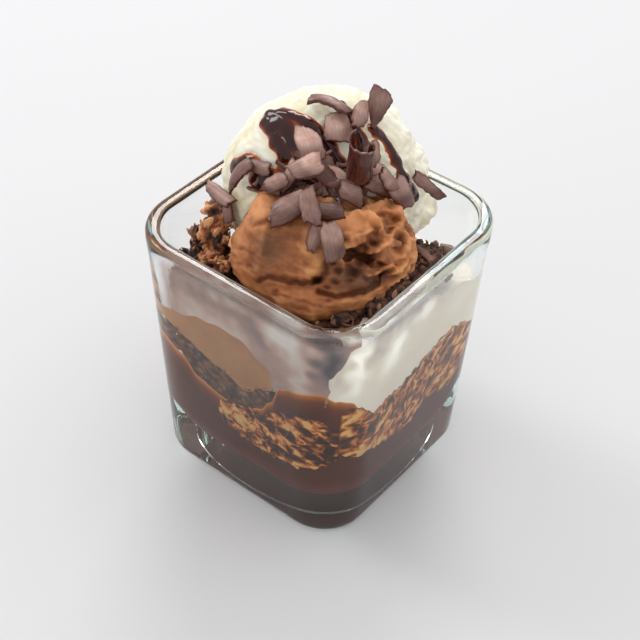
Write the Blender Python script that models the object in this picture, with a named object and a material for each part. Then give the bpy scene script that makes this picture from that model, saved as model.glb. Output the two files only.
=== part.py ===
"""A layered dessert in a square glass cup, topped with two scoops, sauce and chocolate curls.

The cup stands on z = 0 with its axis on the z axis. Its flat sides face the x and y
directions. The corner at +x, -y is the front one.
"""

import math

import bmesh
import bpy
from mathutils import Euler, Matrix, Vector, noise

MM = 0.001

# Cup, in millimetres
CUP_HEIGHT = 68.0
HOLLOW_TOP = 67.0
BASE_HALF = 28.5
RIM_HALF = 32.5
WALL = 4.0
OUTER_CORNER_BASE = 11.1
OUTER_CORNER_RIM = 14.6
INNER_CORNER_RIM = 9.4
SHOULDER = 63.0
PUNT_RADIUS = 23.5
PUNT_SLANT = 1.2
PUNT_DEPTH = 0.9
PUNT_POINTS = 48
CORNER_STEPS = 6
WALL_HEIGHTS = (24.0, 64.0)
CORNER_GROWTH = 3.0
# Rings of the hollow's floor and of the rim, as (z, half width, corner radius)
FLOOR_RINGS = (
    (8.0, 17.0, 11.0), (8.4, 21.0, 13.4), (9.6, 23.2, 14.0), (11.8, 24.4, 13.6), (16.0, 25.1, 12.8),
)
RIM_RINGS = (
    (65.6, 32.5, 14.6), (66.9, 32.2, 14.3), (67.7, 31.5, 13.2), (68.0, 30.5, 11.9),
    (67.7, 29.5, 10.6), (66.9, 28.8, 9.8), (65.6, 28.45, 9.4),
)

# Clearances between neighbouring pieces
GAP = 0.3
LAYER_GAP = 0.6
GROWN = 0.42
GROWN_ROUGH = 0.62
SHARPEST = 3.0

# Scoops
SCOOP_TURN = 37.3
VANILLA_CENTRE = (-5.2, 7.3, 69.0)
VANILLA_AXES = (23.6, 17.3, 26.9)
VANILLA_BELOW = 21.0
MOUSSE_CENTRE = (7.3, -8.5, 66.5)
MOUSSE_AXES = (20.6, 16.5, 14.2)
UNDERCUT = 0.34
UNDERCUT_RIGHT = 0.1
SHOULDER_RIGHT = 0.12
# Direction, in the turned frame of the scoop, that its marks are pressed in from, and the one across it
PRESSED_FROM = (0.0, -0.739, 0.674)
PRESSED_UP = (0.0, 0.674, 0.739)
# Marks on the mousse scoop, as (across, up, half width, half height, outward move)
MOUSSE_MARKS = (
    (-14.5, 9.0, 5.0, 5.0, 2.2), (-8.5, -0.5, 5.0, 6.5, -2.6), (-1.8, -1.5, 2.6, 5.5, 0.9),
    (-3.0, -7.4, 7.0, 1.4, -1.6), (0.0, -10.8, 10.0, 2.6, 1.0), (7.5, 0.0, 3.0, 1.4, -2.2),
    (12.0, -1.2, 3.4, 1.3, -1.8), (14.4, 6.8, 2.6, 1.3, -2.0), (9.0, 7.0, 3.5, 3.0, 1.2),
    (16.0, 10.5, 3.6, 3.2, 1.8), (15.5, 2.8, 3.5, 2.0, 1.4), (3.5, 12.5, 5.0, 3.0, -1.0),
)
MARK_FADE = 6.0

# Height of each layer's top where it meets the cup wall, by angle round the axis in degrees
GANACHE_TOP = (
    (-180, 37), (-135, 38), (-124, 36), (-115, 31), (-99, 29), (-85, 30), (-70, 40),
    (-62, 44.5), (-51, 47.5), (-45, 47), (-40, 44.5), (-33, 37), (-20, 34), (20, 34),
    (36, 34), (42, 38), (48, 39), (90, 37), (135, 38), (180, 37),
)
CRUMB_TOP = (
    (-180, 44), (-134, 45.6), (-127, 45), (-118, 43), (-113, 41.7), (-104, 40), (-98, 39.3),
    (-85, 37.2), (-74, 41), (-68, 42.5), (-60, 45), (0, 45), (90, 44), (180, 44),
)
MOUSSE_TOP = (
    (-180, 48), (-134, 47.4), (-121, 49.7), (-111, 52), (-99, 52.6), (-87, 52.5),
    (-74, 48.6), (-64, 45.8), (-50, 45.8), (0, 48), (90, 48), (180, 48),
)
CREAM_TOP = (
    (-180, 48), (-90, 47), (-56, 47.8), (-50, 49.5), (-47, 52.5), (-44, 56),
    (-40.5, 62), (-30, 63), (-7, 62.5), (8, 60), (15, 57), (25, 57.5), (38, 54), (45, 51),
    (90, 50), (135, 49), (180, 48),
)
JOIN_TURN = math.radians(49.5)
JOIN_DISTANCE = -4.2
MIDDLE_HEIGHTS = {"ganache": 33, "crumb": 40, "mousse": 48.5, "cream": 53}
WALL_REACH = 25.5
RIPPLE_SIZE = 5.0
RIPPLE_DEPTH = 0.5
GROUND_CELLS = 10
GROUND_SPAN = 31.0

# Crunch seen against the front left side, as (x, lower z, upper z)
CRUNCH_LEFT = (
    (-7.6, 23, 24.6), (-5.5, 20.6, 28), (-2, 19.3, 29.3), (2, 19.1, 31), (6.5, 18.4, 30.8),
    (12, 20, 35.6), (18, 20.7, 38), (22, 21.5, 37.4), (24.2, 27, 32),
)
# Crunch seen against the front right side, as (y, lower z, upper z)
CRUNCH_RIGHT = (
    (-22.4, 28, 33), (-20.5, 25.4, 35.6), (-15.3, 23.5, 37), (-9.2, 21.4, 38.4), (-3, 20.1, 39.2),
    (1, 19.8, 40.4), (5, 23.4, 41.2), (7.5, 24.0, 41.7), (10.6, 22.6, 42.4), (14.8, 20.8, 42),
    (19, 20.3, 40.8), (22.4, 25, 37),
)
CRUNCH_DEPTH = 10.0
CRUNCH_WALL = 26.5
CRUNCH_BEHIND = 3.0
CRUMB_SHARES = (1.0, 0.9, 0.85)
CRUMB_ROUGH = 0.3
CRUMB_GROWTH = 1.3
CRUMB_PLACES = (0.15, 0.85)
CRUMB_INSET = 1.4
CRUMB_STAGGER = 2.2
CRUMB_LEAST = 2.1
CRUMB_MORE = 0.5

# Rough lumps, as (x, y, z, radius)
VANILLA_LUMPS = (
    (6.8, 22.6, 74.0, 5.4), (10.8, 20.6, 64.0, 5.6), (2.6, 15.5, 84.0, 6.6), (-17.5, -2.0, 66.0, 4.6),
    (-15.0, 2.0, 81.0, 6.5), (-4.0, 9.0, 88.0, 7.6), (9.0, 12.0, 72.0, 7.0),
)
BROWNIE_LEFT = (
    (-15.0, -20.5, 54.5, 5.0), (-19.0, -18.8, 57.0, 4.4), (-10.5, -21.8, 56.0, 4.4),
    (-19.6, -22.6, 53.4, 3.6), (-22.4, -18.5, 53.5, 3.8), (-18.6, -15.0, 63.0, 3.2),
    (-20.6, -14.5, 56.5, 4.2), (-20.0, -13.4, 68.0, 2.2), (-15.5, -21.0, 60.2, 3.0),
    (-6.0, -23.2, 55.0, 3.4), (-20.6, -17.8, 62.6, 2.3), (-16.6, -17.4, 63.6, 2.4),
    (-19.6, -16.2, 66.0, 1.8), (-11.8, -20.6, 60.0, 2.8), (-21.4, -16.4, 59.4, 2.8),
    (-17.4, -14.4, 66.2, 2.0), (-10.4, -18.9, 58.6, 2.8),
)
BROWNIE_FRONT = (
    (14.5, -22.6, 56.0, 3.4), (19.0, -20.5, 57.5, 4.4), (21.8, -17.4, 59.9, 4.3), (24.0, -12.6, 64.6, 3.0),
    (24.9, -8.2, 64.8, 2.6), (25.2, -3.8, 64.6, 2.7), (25.0, 0.8, 64.4, 2.8), (24.6, 5.2, 62.8, 2.9),
    (23.8, 9.4, 61.6, 3.1), (22.6, 13.4, 60.6, 2.6), (18.0, -22.6, 60.8, 2.6), (22.4, -19.6, 63.6, 2.2),
    (9.5, -23.8, 55.0, 3.2), (20.6, -22.4, 56.0, 2.6), (23.2, -2.0, 62.8, 3.2), (22.6, 5.0, 62.6, 3.2),
    (4.6, -24.0, 54.2, 3.1), (1.4, -24.4, 50.4, 2.7), (6.6, -24.2, 49.6, 3.1), (12.2, -24.2, 50.6, 3.2),
    (17.4, -23.2, 51.6, 3.4), (21.8, -20.6, 52.4, 3.2),
    (20.8, 10.6, 62.0, 3.0), (22.6, -9.0, 62.6, 2.8), (26.0, -6.0, 66.4, 1.7), (25.8, 3.0, 65.4, 1.8),
)
BROWNIE_LEFT_CORE = ((-6.5, -23.0, 55.0), (-13.5, -21.2, 56.5), (-19.0, -17.6, 60.0), (-19.8, -13.8, 66.6))
BROWNIE_FRONT_CORE = (
    (2.6, -24.0, 52.4), (10.0, -23.8, 53.6), (16.5, -22.4, 57.0), (22.6, -19.0, 61.0), (24.9, -12.0, 64.4), (25.4, -2.0, 64.4),
    (24.9, 6.0, 62.8), (23.0, 13.0, 60.8),
)
BROWNIE_CORE = 1.5
HEAP_GAP = 0.9
SPACE_ABOVE = 80.0

# Sauce laid on the vanilla scoop: a radius, then (turn, rise) in degrees seen from its centre
DRIZZLES = (
    (1.3, ((-134, 60), (-118, 68), (-90, 71), (-66, 69), (-51, 64), (-41, 57), (-35, 49))),
    (1.9, ((-128, 58), (-113, 58), (-99, 55), (-90, 51))),
    (2.6, ((-121, 62), (-104, 63), (-90, 59))),
    (1.3, ((-10, 80), (-11, 73), (-10, 67), (-10, 61), (-12, 57))),
    (1.2, ((9, 62), (9, 55), (10, 47), (10, 39), (10, 32), (13, 23), (17, 14))),
    (1.6, ((-124, 27), (-118, 35), (-108, 37), (-100, 35), (-93, 35))),
)
SAUCE_LIFT = 1.0

# Chocolate curls: centre, rotation in degrees, length, width, arc, taper, lengthways bow
CURLS = (
    ((-1.9, -10.1, 84.8), (-2, 58, -106), 7.7, 4.0, 80, -0.3, 0.3),
    ((-9.1, -11, 84.4), (40, -3, 8), 5.5, 3.4, 60, 0.2, 0.0),
    ((-13.4, -14.7, 81.7), (-42, 63, -161), 11.0, 3.2, 70, -0.4, 1.6),
    ((-3.7, -13.6, 82.1), (77, 0, 10), 4.9, 2.4, 70, 0, 0),
    ((-15.5, -14.9, 70.5), (32, 52, -45), 4.6, 2.8, 80, 0, 0.4),
    ((-18.8, -13.8, 73.8), (33, -1, -10), 8.9, 4.2, 120, 0, 0.0),
    ((-2, -13.6, 85.1), (53, -30, 43), 5.3, 3.8, 60, 0.3, 0),
    ((0.5, -5.8, 92.1), (21, 35, -28), 8.5, 5.8, 60, 0.25, 0.4),
    ((7.8, -4.2, 85.1), (59, 25, 34), 7.1, 5.6, 120, -0.3, 0),
    ((12.1, 4, 85.1), (60, 28, 54), 5.9, 4.0, 70, 0, 0.2),
    ((14.9, 2.7, 83.1), (63, 30, 61), 8.1, 5.2, 110, 0.2, 0),
    ((18.5, 5.4, 81.4), (58, 63, 49), 9.3, 5.4, 80, -0.3, 0.4),
    ((11.1, 3.1, 89.6), (20, 52, -28), 5.1, 3.6, 60, 0, 0),
    ((3.1, 0.9, 94.2), (0, 36, -41), 6.4, 6.4, 50, 0.35, 0.2),
    ((3.4, -16.1, 83.1), (28, -22, 63), 8.9, 6.8, 120, -0.2, 0.5),
    ((10.5, -10.6, 82.7), (23, 6, 38), 5.9, 5.0, 120, 0, 0),
    ((8.4, -15.2, 84.9), (12, 23, -39), 8.5, 4.8, 80, -0.3, 0),
    ((17, -17.7, 81.5), (11, 50, -33), 8.2, 5.6, 110, 0, 0.0),
    ((12.6, -18.1, 80.1), (-29, 39, -74), 5.9, 3.4, 60, -0.3, 0),
    ((-0.4, 3.4, 98.7), (-16, 5, 6), 10.1, 4.2, 90, -0.5, 1.2),
    ((6.4, 4.8, 97.5), (-26, 16, -61), 7.1, 3.8, 70, 0.2, 0.3),
    ((6.8, 10.1, 96), (-15, 46, -73), 8.7, 4.4, 60, -1.3, 0.2),
    ((6.2, -8.2, 88.7), (46, 33, 8), 5.8, 4.0, 90, 0.2, 0),
    ((11.9, -4.9, 84.1), (46, 29, 33), 5.7, 4.6, 80, -0.2, 0.2),
    ((17.4, 1.3, 86.5), (39, 57, 32), 5.8, 3.2, 60, -0.2, 0.2),
    ((12.7, -3.8, 90.5), (-169, 81, 137), 9.0, 12.6, 300, 0, 0),
    ((4.1, -11.1, 90.7), (-53, 22, -135), 7.5, 5.6, 110, -0.2, 0),
    ((18.7, 15, 77.7), (77, 47, 53), 10.5, 2.8, 40, 0, 0),
    ((21.4, 21.1, 57.7), (12, 3, 15), 3.8, 2.8, 60, 0.2, 0),
    ((24.1, 6.6, 66.8), (26, -16, -29), 9.5, 1.8, 40, 0, 0),
)
CURL_THICKNESS = 0.9
CURL_STEP = 30.0


def smooth(t):
    return t * t * (3 - 2 * t)


def between(table, x):
    """Value at x of a table of (x, value) rows, eased from row to row."""
    if x <= table[0][0]:
        return table[0][1]
    for (x0, v0), (x1, v1) in zip(table, table[1:]):
        if x <= x1:
            return v0 + (v1 - v0) * smooth((x - x0) / (x1 - x0))
    return table[-1][1]


def linear(red, green, blue):
    """Linear colour from 0-255 display values."""
    return tuple((c / 255 / 12.92) if c < 10.3 else ((c / 255 + 0.055) / 1.055) ** 2.4
                 for c in (red, green, blue)) + (1.0,)


def material(name, colour, roughness, transmission=0.0, coat=0.0):
    made = bpy.data.materials.new(name)
    made.use_nodes = True
    shader = made.node_tree.nodes["Principled BSDF"]
    shader.inputs["Base Color"].default_value = linear(*colour)
    shader.inputs["Roughness"].default_value = roughness
    shader.inputs["Metallic"].default_value = 0.0
    shader.inputs["Transmission Weight"].default_value = transmission
    shader.inputs["Coat Weight"].default_value = coat
    shader.inputs["IOR"].default_value = 1.5
    return made


def collection(name, hidden=False):
    made = bpy.data.collections.new(name)
    bpy.context.scene.collection.children.link(made)
    made.hide_render = hidden
    return made


def body(name, bm, home):
    """Object made from a mesh in millimetres."""
    bmesh.ops.scale(bm, vec=(MM, MM, MM), verts=bm.verts)
    bmesh.ops.recalc_face_normals(bm, faces=bm.faces)
    mesh = bpy.data.meshes.new(name)
    bm.to_mesh(mesh)
    bm.free()
    obj = bpy.data.objects.new(name, mesh)
    home.objects.link(obj)
    return obj


def helper(name, bm):
    """Hidden object that only cuts or joins."""
    obj = body(name, bm, HELPERS)
    obj.hide_render = True
    obj.display_type = "WIRE"
    return obj


def settle(obj):
    """Replaces the mesh by its modified one."""
    graph = bpy.context.evaluated_depsgraph_get()
    mesh = bpy.data.meshes.new_from_object(obj.evaluated_get(graph))
    obj.modifiers.clear()
    obj.data = mesh


def boolean(obj, other, operation):
    step = obj.modifiers.new(operation.title(), "BOOLEAN")
    step.operation = operation
    step.solver = "MANIFOLD"
    if isinstance(other, bpy.types.Collection):
        step.operand_type = "COLLECTION"
        step.collection = other
    else:
        step.object = other
    settle(obj)


def join(obj, pieces):
    """One Boolean union of the object with all the pieces, which are then removed."""
    if not pieces:
        return
    group = collection(obj.name + "_pieces", hidden=True)
    for piece in pieces:
        HELPERS.objects.unlink(piece)
        group.objects.link(piece)
    boolean(obj, group, "UNION")
    for piece in pieces:
        bpy.data.objects.remove(piece)
    bpy.data.collections.remove(group)


def grown(obj):
    """Hidden copy of a smooth object that is larger all round."""
    bm = bmesh.new()
    bm.from_mesh(obj.data)
    bmesh.ops.scale(bm, vec=(1 / MM, 1 / MM, 1 / MM), verts=bm.verts)
    bm.normal_update()
    shifts = [vert.normal * GROWN * min(vert.calc_shell_factor(), SHARPEST) for vert in bm.verts]
    for vert, shift in zip(bm.verts, shifts):
        vert.co += shift
    return helper(obj.name + "_grown", bm)


def cut(obj, *cutters):
    """Cuts each hidden shape from the object and drops what falls loose."""
    for cutter in cutters:
        boolean(obj, cutter, "DIFFERENCE")
    keep_largest(obj)


def keep_largest(obj):
    """Drops loose scraps, leaving the biggest connected piece."""
    bm = bmesh.new()
    bm.from_mesh(obj.data)
    seen = set()
    groups = []
    for start in bm.verts:
        if start in seen:
            continue
        group = []
        queue = [start]
        seen.add(start)
        while queue:
            vert = queue.pop()
            group.append(vert)
            for edge in vert.link_edges:
                other = edge.other_vert(vert)
                if other not in seen:
                    seen.add(other)
                    queue.append(other)
        groups.append(group)
    groups.sort(key=len)
    for group in groups[:-1]:
        bmesh.ops.delete(bm, geom=group, context="VERTS")
    bm.to_mesh(obj.data)
    bm.free()


def finish(obj, paint, rounded=True):
    obj.data.materials.clear()
    obj.data.materials.append(paint)
    for face in obj.data.polygons:
        face.use_smooth = rounded
        face.material_index = 0


# Cup


def square_ring(half, corner, z):
    """Points of a square with rounded corners."""
    points = []
    for quarter in range(4):
        middle = math.radians(45 + 90 * quarter)
        reach = (half - corner) * math.sqrt(2)
        centre = Vector((reach * math.cos(middle), reach * math.sin(middle), z))
        for step in range(CORNER_STEPS + 1):
            angle = middle + math.radians(90 * (step / CORNER_STEPS - 0.5))
            points.append(centre + corner * Vector((math.cos(angle), math.sin(angle), 0)))
    return points


def loft(rings):
    """Closed mesh through the rings, with its two ends capped."""
    bm = bmesh.new()
    loops = [[bm.verts.new(point) for point in ring] for ring in rings]
    count = len(loops[0])
    for lower, upper in zip(loops, loops[1:]):
        for i in range(count):
            j = (i + 1) % count
            bm.faces.new((lower[i], lower[j], upper[j], upper[i]))
    for loop in (loops[0], loops[-1]):
        centre = bm.verts.new(sum((vert.co for vert in loop), Vector()) / count)
        for i in range(count):
            bm.faces.new((loop[i], loop[(i + 1) % count], centre))
    return bm


def outer_half(z):
    return BASE_HALF + (RIM_HALF - BASE_HALF) * z / CUP_HEIGHT


def inner_rings(clear=0.0, top=None):
    """Rings of the hollow from its floor upwards, drawn in by the clearance."""
    rings = []
    for z, half, corner in FLOOR_RINGS:
        rings.append(square_ring(half - clear, corner - clear, z + clear))
    for z in WALL_HEIGHTS:
        corner = INNER_CORNER_RIM + CORNER_GROWTH * (1 - z / WALL_HEIGHTS[-1])
        rings.append(square_ring(outer_half(z) - WALL - clear, corner - clear, z))
    if top is not None:
        rings.append(square_ring(outer_half(top) - WALL - clear, INNER_CORNER_RIM - clear, top))
    return rings


def cup():
    rings = [
        square_ring(26.9, 10.2, 0.0),
        square_ring(28.0, 10.8, 0.35),
        square_ring(28.55, 11.1, 1.4),
    ]
    corner = OUTER_CORNER_BASE + (OUTER_CORNER_RIM - OUTER_CORNER_BASE) * SHOULDER / CUP_HEIGHT
    rings.append(square_ring(outer_half(SHOULDER), corner, SHOULDER))
    rings += [square_ring(half, corner, z) for z, half, corner in RIM_RINGS]
    rings += inner_rings()[::-1]
    obj = body("glass", loft(rings), PARTS)
    punt = bmesh.new()
    bmesh.ops.create_cone(punt, cap_ends=True, segments=PUNT_POINTS, radius1=PUNT_RADIUS + PUNT_SLANT,
                          radius2=PUNT_RADIUS - PUNT_SLANT, depth=2 * PUNT_DEPTH)
    cutter = helper("punt", punt)
    boolean(obj, cutter, "DIFFERENCE")
    bpy.data.objects.remove(cutter)
    return obj


# Layers


def wall_share(x, y):
    """0 on the axis and 1 at the wall."""
    return min(1.0, (max(abs(x), abs(y)) / WALL_REACH) ** 2)


def layer_height(table, middle, x, y):
    share = wall_share(x, y)
    angle = math.degrees(math.atan2(y, x))
    return middle + (between(table, angle) - middle) * share


def ripple(x, y):
    """Small smooth unevenness."""
    return RIPPLE_DEPTH * noise.noise(Vector((x, y, 0)) / RIPPLE_SIZE)


def ground(name, height):
    """Block that holds everything below a surface."""
    bm = bmesh.new()
    bmesh.ops.create_grid(bm, x_segments=GROUND_CELLS, y_segments=GROUND_CELLS, size=GROUND_SPAN)
    bmesh.ops.triangulate(bm, faces=bm.faces)
    top = bmesh.ops.extrude_face_region(bm, geom=list(bm.faces))["geom"]
    raised = {item for item in top if isinstance(item, bmesh.types.BMVert)}
    for vert in bm.verts:
        vert.co.z = height(vert.co.x, vert.co.y) if vert in raised else -5.0
    return helper(name, bm)


def filled(name, upper, lower=None):
    """Layer of food: what lies between two heights inside the hollow."""
    obj = body(name, loft(inner_rings(GAP, HOLLOW_TOP)), PARTS)
    below = ground("below", upper)
    boolean(obj, below, "INTERSECT")
    bpy.data.objects.remove(below)
    if lower:
        under = ground("under", lower)
        boolean(obj, under, "DIFFERENCE")
        bpy.data.objects.remove(under)
    return obj


def height_of(table, key, offset=0.0):
    def height(x, y):
        return layer_height(table, MIDDLE_HEIGHTS[key], x, y) + offset + ripple(x, y)
    return height


def highest(*heights):
    return lambda x, y: max(height(x, y) for height in heights)


def crumb(place, radius, seed, grow=0.0):
    """Rough angular crumb."""
    bm = bmesh.new()
    bmesh.ops.create_icosphere(bm, subdivisions=1, radius=radius)
    turn = Euler((seed * 1.3, seed * 2.1, seed * 0.7)).to_matrix().to_4x4()
    bmesh.ops.transform(bm, matrix=Matrix.Diagonal((*CRUMB_SHARES, 1.0)), verts=bm.verts)
    for vert in bm.verts:
        vert.co *= 1 + CRUMB_ROUGH * noise.noise(vert.co / radius * 1.1 + Vector((seed, 0, 0)))
        vert.co += vert.co.normalized() * grow * CRUMB_GROWTH
    bmesh.ops.transform(bm, matrix=Matrix.Translation(place) @ turn, verts=bm.verts)
    return helper(f"crumb_{seed}", bm)


def crunch_block(name, table, along_x, grow):
    """Bar of crunch behind one side, running through the wall of the cup."""
    bm = bmesh.new()
    sections = []
    for number, (place, low, high) in enumerate(table):
        low, high = low - grow, high + grow
        place += grow if number == len(table) - 1 else -grow if number == 0 else 0
        slope = 0.12 * (high - low)
        shoulder = CRUNCH_DEPTH * 0.7 + grow
        ring = [(-CRUNCH_BEHIND, low), (-CRUNCH_BEHIND, high), (shoulder, high - slope),
                (CRUNCH_DEPTH + grow, (low + high) / 2), (shoulder, low + slope)]
        corners = []
        for depth, z in ring:
            if along_x:
                corners.append(Vector((place, depth - CRUNCH_WALL, z)))
            else:
                corners.append(Vector((CRUNCH_WALL - depth, place, z)))
        sections.append([bm.verts.new(point) for point in corners])
    count = len(sections[0])
    for near, far in zip(sections, sections[1:]):
        for i in range(count):
            j = (i + 1) % count
            bm.faces.new((near[i], near[j], far[j], far[i]))
    bm.faces.new(sections[0])
    bm.faces.new(sections[-1])
    bmesh.ops.triangulate(bm, faces=bm.faces)
    return helper(name, bm)


def crunch_shape(name, table, along_x, grow=0.0):
    """Crunch with rough crumbs all over it, not yet cut to the hollow."""
    obj = crunch_block(name, table, along_x, grow)
    pieces = []
    for i, (place, low, high) in enumerate(table[1:-1]):
        inward = CRUNCH_WALL - CRUMB_INSET - CRUMB_STAGGER * (i % 3)
        z = low + (high - low) * CRUMB_PLACES[i % 2]
        centre = (place, -inward, z) if along_x else (inward, place, z)
        radius = CRUMB_LEAST + CRUMB_MORE * (i * 2 % 3)
        pieces.append(crumb(centre, radius, 2 * i, grow))
    join(obj, pieces)
    return obj


def into_hollow(obj):
    """Cuts the object to the hollow of the cup."""
    hollow = helper("hollow", loft(inner_rings(GAP, HOLLOW_TOP)))
    boolean(obj, hollow, "INTERSECT")
    bpy.data.objects.remove(hollow)
    keep_largest(obj)


def show(obj, name):
    """Makes a hidden shape one of the parts."""
    obj.name = name
    HELPERS.objects.unlink(obj)
    PARTS.objects.link(obj)
    obj.hide_render = False
    obj.display_type = "TEXTURED"
    return obj


def side_wedge(far_side):
    """Block on one side of the slanting join between mousse and cream."""
    bm = bmesh.new()
    bmesh.ops.create_cube(bm, size=120.0)
    away = Vector((math.cos(JOIN_TURN), math.sin(JOIN_TURN), 0))
    turn = Matrix.Rotation(JOIN_TURN, 4, "Z")
    direction = 1 if far_side else -1
    centre = away * (JOIN_DISTANCE + direction * (60.0 + GAP / 2))
    bmesh.ops.transform(bm, matrix=Matrix.Translation(centre) @ turn, verts=bm.verts)
    return helper("wedge", bm)


def one_side(obj, far_side):
    wedge = side_wedge(far_side)
    boolean(obj, wedge, "INTERSECT")
    bpy.data.objects.remove(wedge)
    keep_largest(obj)


# Scoops


def lump(name, centre, radius):
    """Slightly flattened ball."""
    bm = bmesh.new()
    bmesh.ops.create_icosphere(bm, subdivisions=2, radius=radius)
    squash = Matrix.Diagonal((1, 1, 0.9, 1))
    bmesh.ops.transform(bm, matrix=Matrix.Translation(centre) @ squash, verts=bm.verts)
    return helper(name, bm)


def mound(centre, axes, below):
    """Egg shape turned to face the front corner, with its own height below the middle."""
    bm = bmesh.new()
    bmesh.ops.create_icosphere(bm, subdivisions=4, radius=1.0)
    across, deep, above = axes
    for vert in bm.verts:
        vert.co = (vert.co.x * across, vert.co.y * deep, vert.co.z * (above if vert.co.z > 0 else below))
    turn = Matrix.Rotation(math.radians(SCOOP_TURN), 4, "Z")
    bmesh.ops.transform(bm, matrix=Matrix.Translation(centre) @ turn, verts=bm.verts)
    return bm


def mousse_form(local):
    """Place of a point of the egg shape once the scoop is drawn in below and its marks are pressed in."""
    across, deep, tall = MOUSSE_AXES
    low = smooth(min(1.0, max(0.0, -local.z / tall)))
    draw = 1 - UNDERCUT * low
    local = Vector((local.x * draw, local.y * draw, local.z))
    if local.x > 0:
        local.x *= 1 - UNDERCUT_RIGHT * low + SHOULDER_RIGHT * max(0.0, local.z / tall)
    from_side = Vector(PRESSED_FROM)
    facing = smooth(min(1.0, max(0.0, local.dot(from_side) / MARK_FADE)))
    rise = local.dot(Vector(PRESSED_UP))
    move = 0.0
    for x, y, width, height, depth in MOUSSE_MARKS:
        move += depth * math.exp(-((local.x - x) / width) ** 2 - ((rise - y) / height) ** 2)
    return local + from_side * move * facing


def shape_mousse(obj):
    turn = Matrix.Rotation(math.radians(SCOOP_TURN), 3, "Z")
    centre = Vector(MOUSSE_CENTRE)
    for vert in obj.data.vertices:
        local = turn.transposed() @ (vert.co / MM - centre)
        vert.co = (turn @ mousse_form(local) + centre) * MM


def mound_point(centre, axes, out):
    """Distance from the centre to the surface of the egg shape in one direction."""
    local = Matrix.Rotation(-math.radians(SCOOP_TURN), 3, "Z") @ out
    return 1 / math.sqrt(sum((value / axis) ** 2 for value, axis in zip(local, axes)))


def roughen(obj, size, depth):
    """Moves each point along its normal by smooth noise."""
    bm = bmesh.new()
    bm.from_mesh(obj.data)
    bm.normal_update()
    moves = []
    for vert in bm.verts:
        spot = vert.co / MM / size
        moves.append(vert.normal * (noise.noise(spot) + 0.5 * noise.noise(spot * 2.3)) * depth * MM)
    for vert, move in zip(bm.verts, moves):
        vert.co += move
    bm.to_mesh(obj.data)
    bm.free()


def tube(name, points, radius):
    """Round bar along a smooth line."""
    curve = bpy.data.curves.new(name, "CURVE")
    curve.dimensions = "3D"
    curve.bevel_depth = radius * MM
    curve.bevel_resolution = 1
    curve.resolution_u = 2
    curve.use_fill_caps = True
    line = curve.splines.new("NURBS")
    line.points.add(len(points) - 1)
    line.use_endpoint_u = True
    line.order_u = 3
    for point, place in zip(line.points, points):
        point.co = (*(Vector(place) * MM), 1)
    source = bpy.data.objects.new(name, curve)
    HELPERS.objects.link(source)
    graph = bpy.context.evaluated_depsgraph_get()
    mesh = bpy.data.meshes.new_from_object(source.evaluated_get(graph))
    bm = bmesh.new()
    bm.from_mesh(mesh)
    bmesh.ops.remove_doubles(bm, verts=bm.verts, dist=0.00005)
    bmesh.ops.scale(bm, vec=(1 / MM, 1 / MM, 1 / MM), verts=bm.verts)
    bpy.data.objects.remove(source)
    return helper(name, bm)


def drizzle(name, radius, angles):
    """Sauce that lies on the scoop."""
    points = []
    for turn, rise in angles:
        turn, rise = math.radians(turn), math.radians(rise)
        out = Vector((math.cos(rise) * math.cos(turn), math.cos(rise) * math.sin(turn), math.sin(rise)))
        reach = mound_point(VANILLA_CENTRE, VANILLA_AXES, out)
        points.append(Vector(VANILLA_CENTRE) + out * (reach + SAUCE_LIFT - radius))
    return tube(name, points, radius)


def vanilla_scoop():
    """Scoop and the hidden shape that clears its neighbours."""
    obj = show(helper("vanilla", mound(VANILLA_CENTRE, VANILLA_AXES, VANILLA_BELOW)), "vanilla_scoop")
    join(obj, [lump(f"lump_{i}", (x, y, z), radius) for i, (x, y, z, radius) in enumerate(VANILLA_LUMPS)])
    roughen(obj, 5.0, 0.75)
    cutter = grown(obj)
    join(obj, [drizzle(f"drizzle_{i}", *row) for i, row in enumerate(DRIZZLES)])
    return obj, cutter


def mousse_scoop():
    """Scoop and the hidden shape that clears its neighbours."""
    obj = body("mousse_scoop", mound(MOUSSE_CENTRE, MOUSSE_AXES, MOUSSE_AXES[2]), PARTS)
    shape_mousse(obj)
    roughen(obj, 7.0, 0.9)
    return obj, grown(obj)


def heap_shape(name, lumps, core, grow=0.0):
    """Brownie lumps fused to each other and to a core."""
    obj = tube(name, core, BROWNIE_CORE + grow)
    join(obj, [crumb((x, y, z), radius, 40 + i, grow) for i, (x, y, z, radius) in enumerate(lumps)])
    return obj


def heap(name, lumps, core):
    """Brownie heap, cut to the opening of the cup and free to stand above it."""
    obj = show(heap_shape("heap", lumps, core), name)
    hollow = helper("hollow", loft(inner_rings(HEAP_GAP, HOLLOW_TOP + 0.5)))
    bm = bmesh.new()
    bmesh.ops.create_cube(bm, size=SPACE_ABOVE)
    bmesh.ops.translate(bm, vec=(0, 0, HOLLOW_TOP + SPACE_ABOVE / 2), verts=bm.verts)
    above = helper("above", bm)
    boolean(hollow, above, "UNION")
    boolean(obj, hollow, "INTERSECT")
    bpy.data.objects.remove(hollow)
    bpy.data.objects.remove(above)
    return obj


# Curls


def curl(name, centre, turn, length, width, arc, taper, bow):
    """Shaving of chocolate bent round its long axis."""
    bm = bmesh.new()
    across = max(3, round(arc / CURL_STEP))
    bmesh.ops.create_grid(bm, x_segments=4, y_segments=across, size=0.5)
    radius = width / math.radians(arc)
    for vert in bm.verts:
        s, t = vert.co.x, vert.co.y
        angle = t * math.radians(arc) * (1 + taper * s)
        vert.co = Vector((s * length, radius * math.sin(angle),
                          radius * (math.cos(angle) - 1) - bow * 4 * s * s))
    bm.normal_update()
    bmesh.ops.solidify(bm, geom=list(bm.faces), thickness=CURL_THICKNESS)
    spin = Euler([math.radians(a) for a in turn]).to_matrix().to_4x4()
    bmesh.ops.transform(bm, matrix=Matrix.Translation(centre) @ spin, verts=bm.verts)
    return body(name, bm, PARTS)


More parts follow.
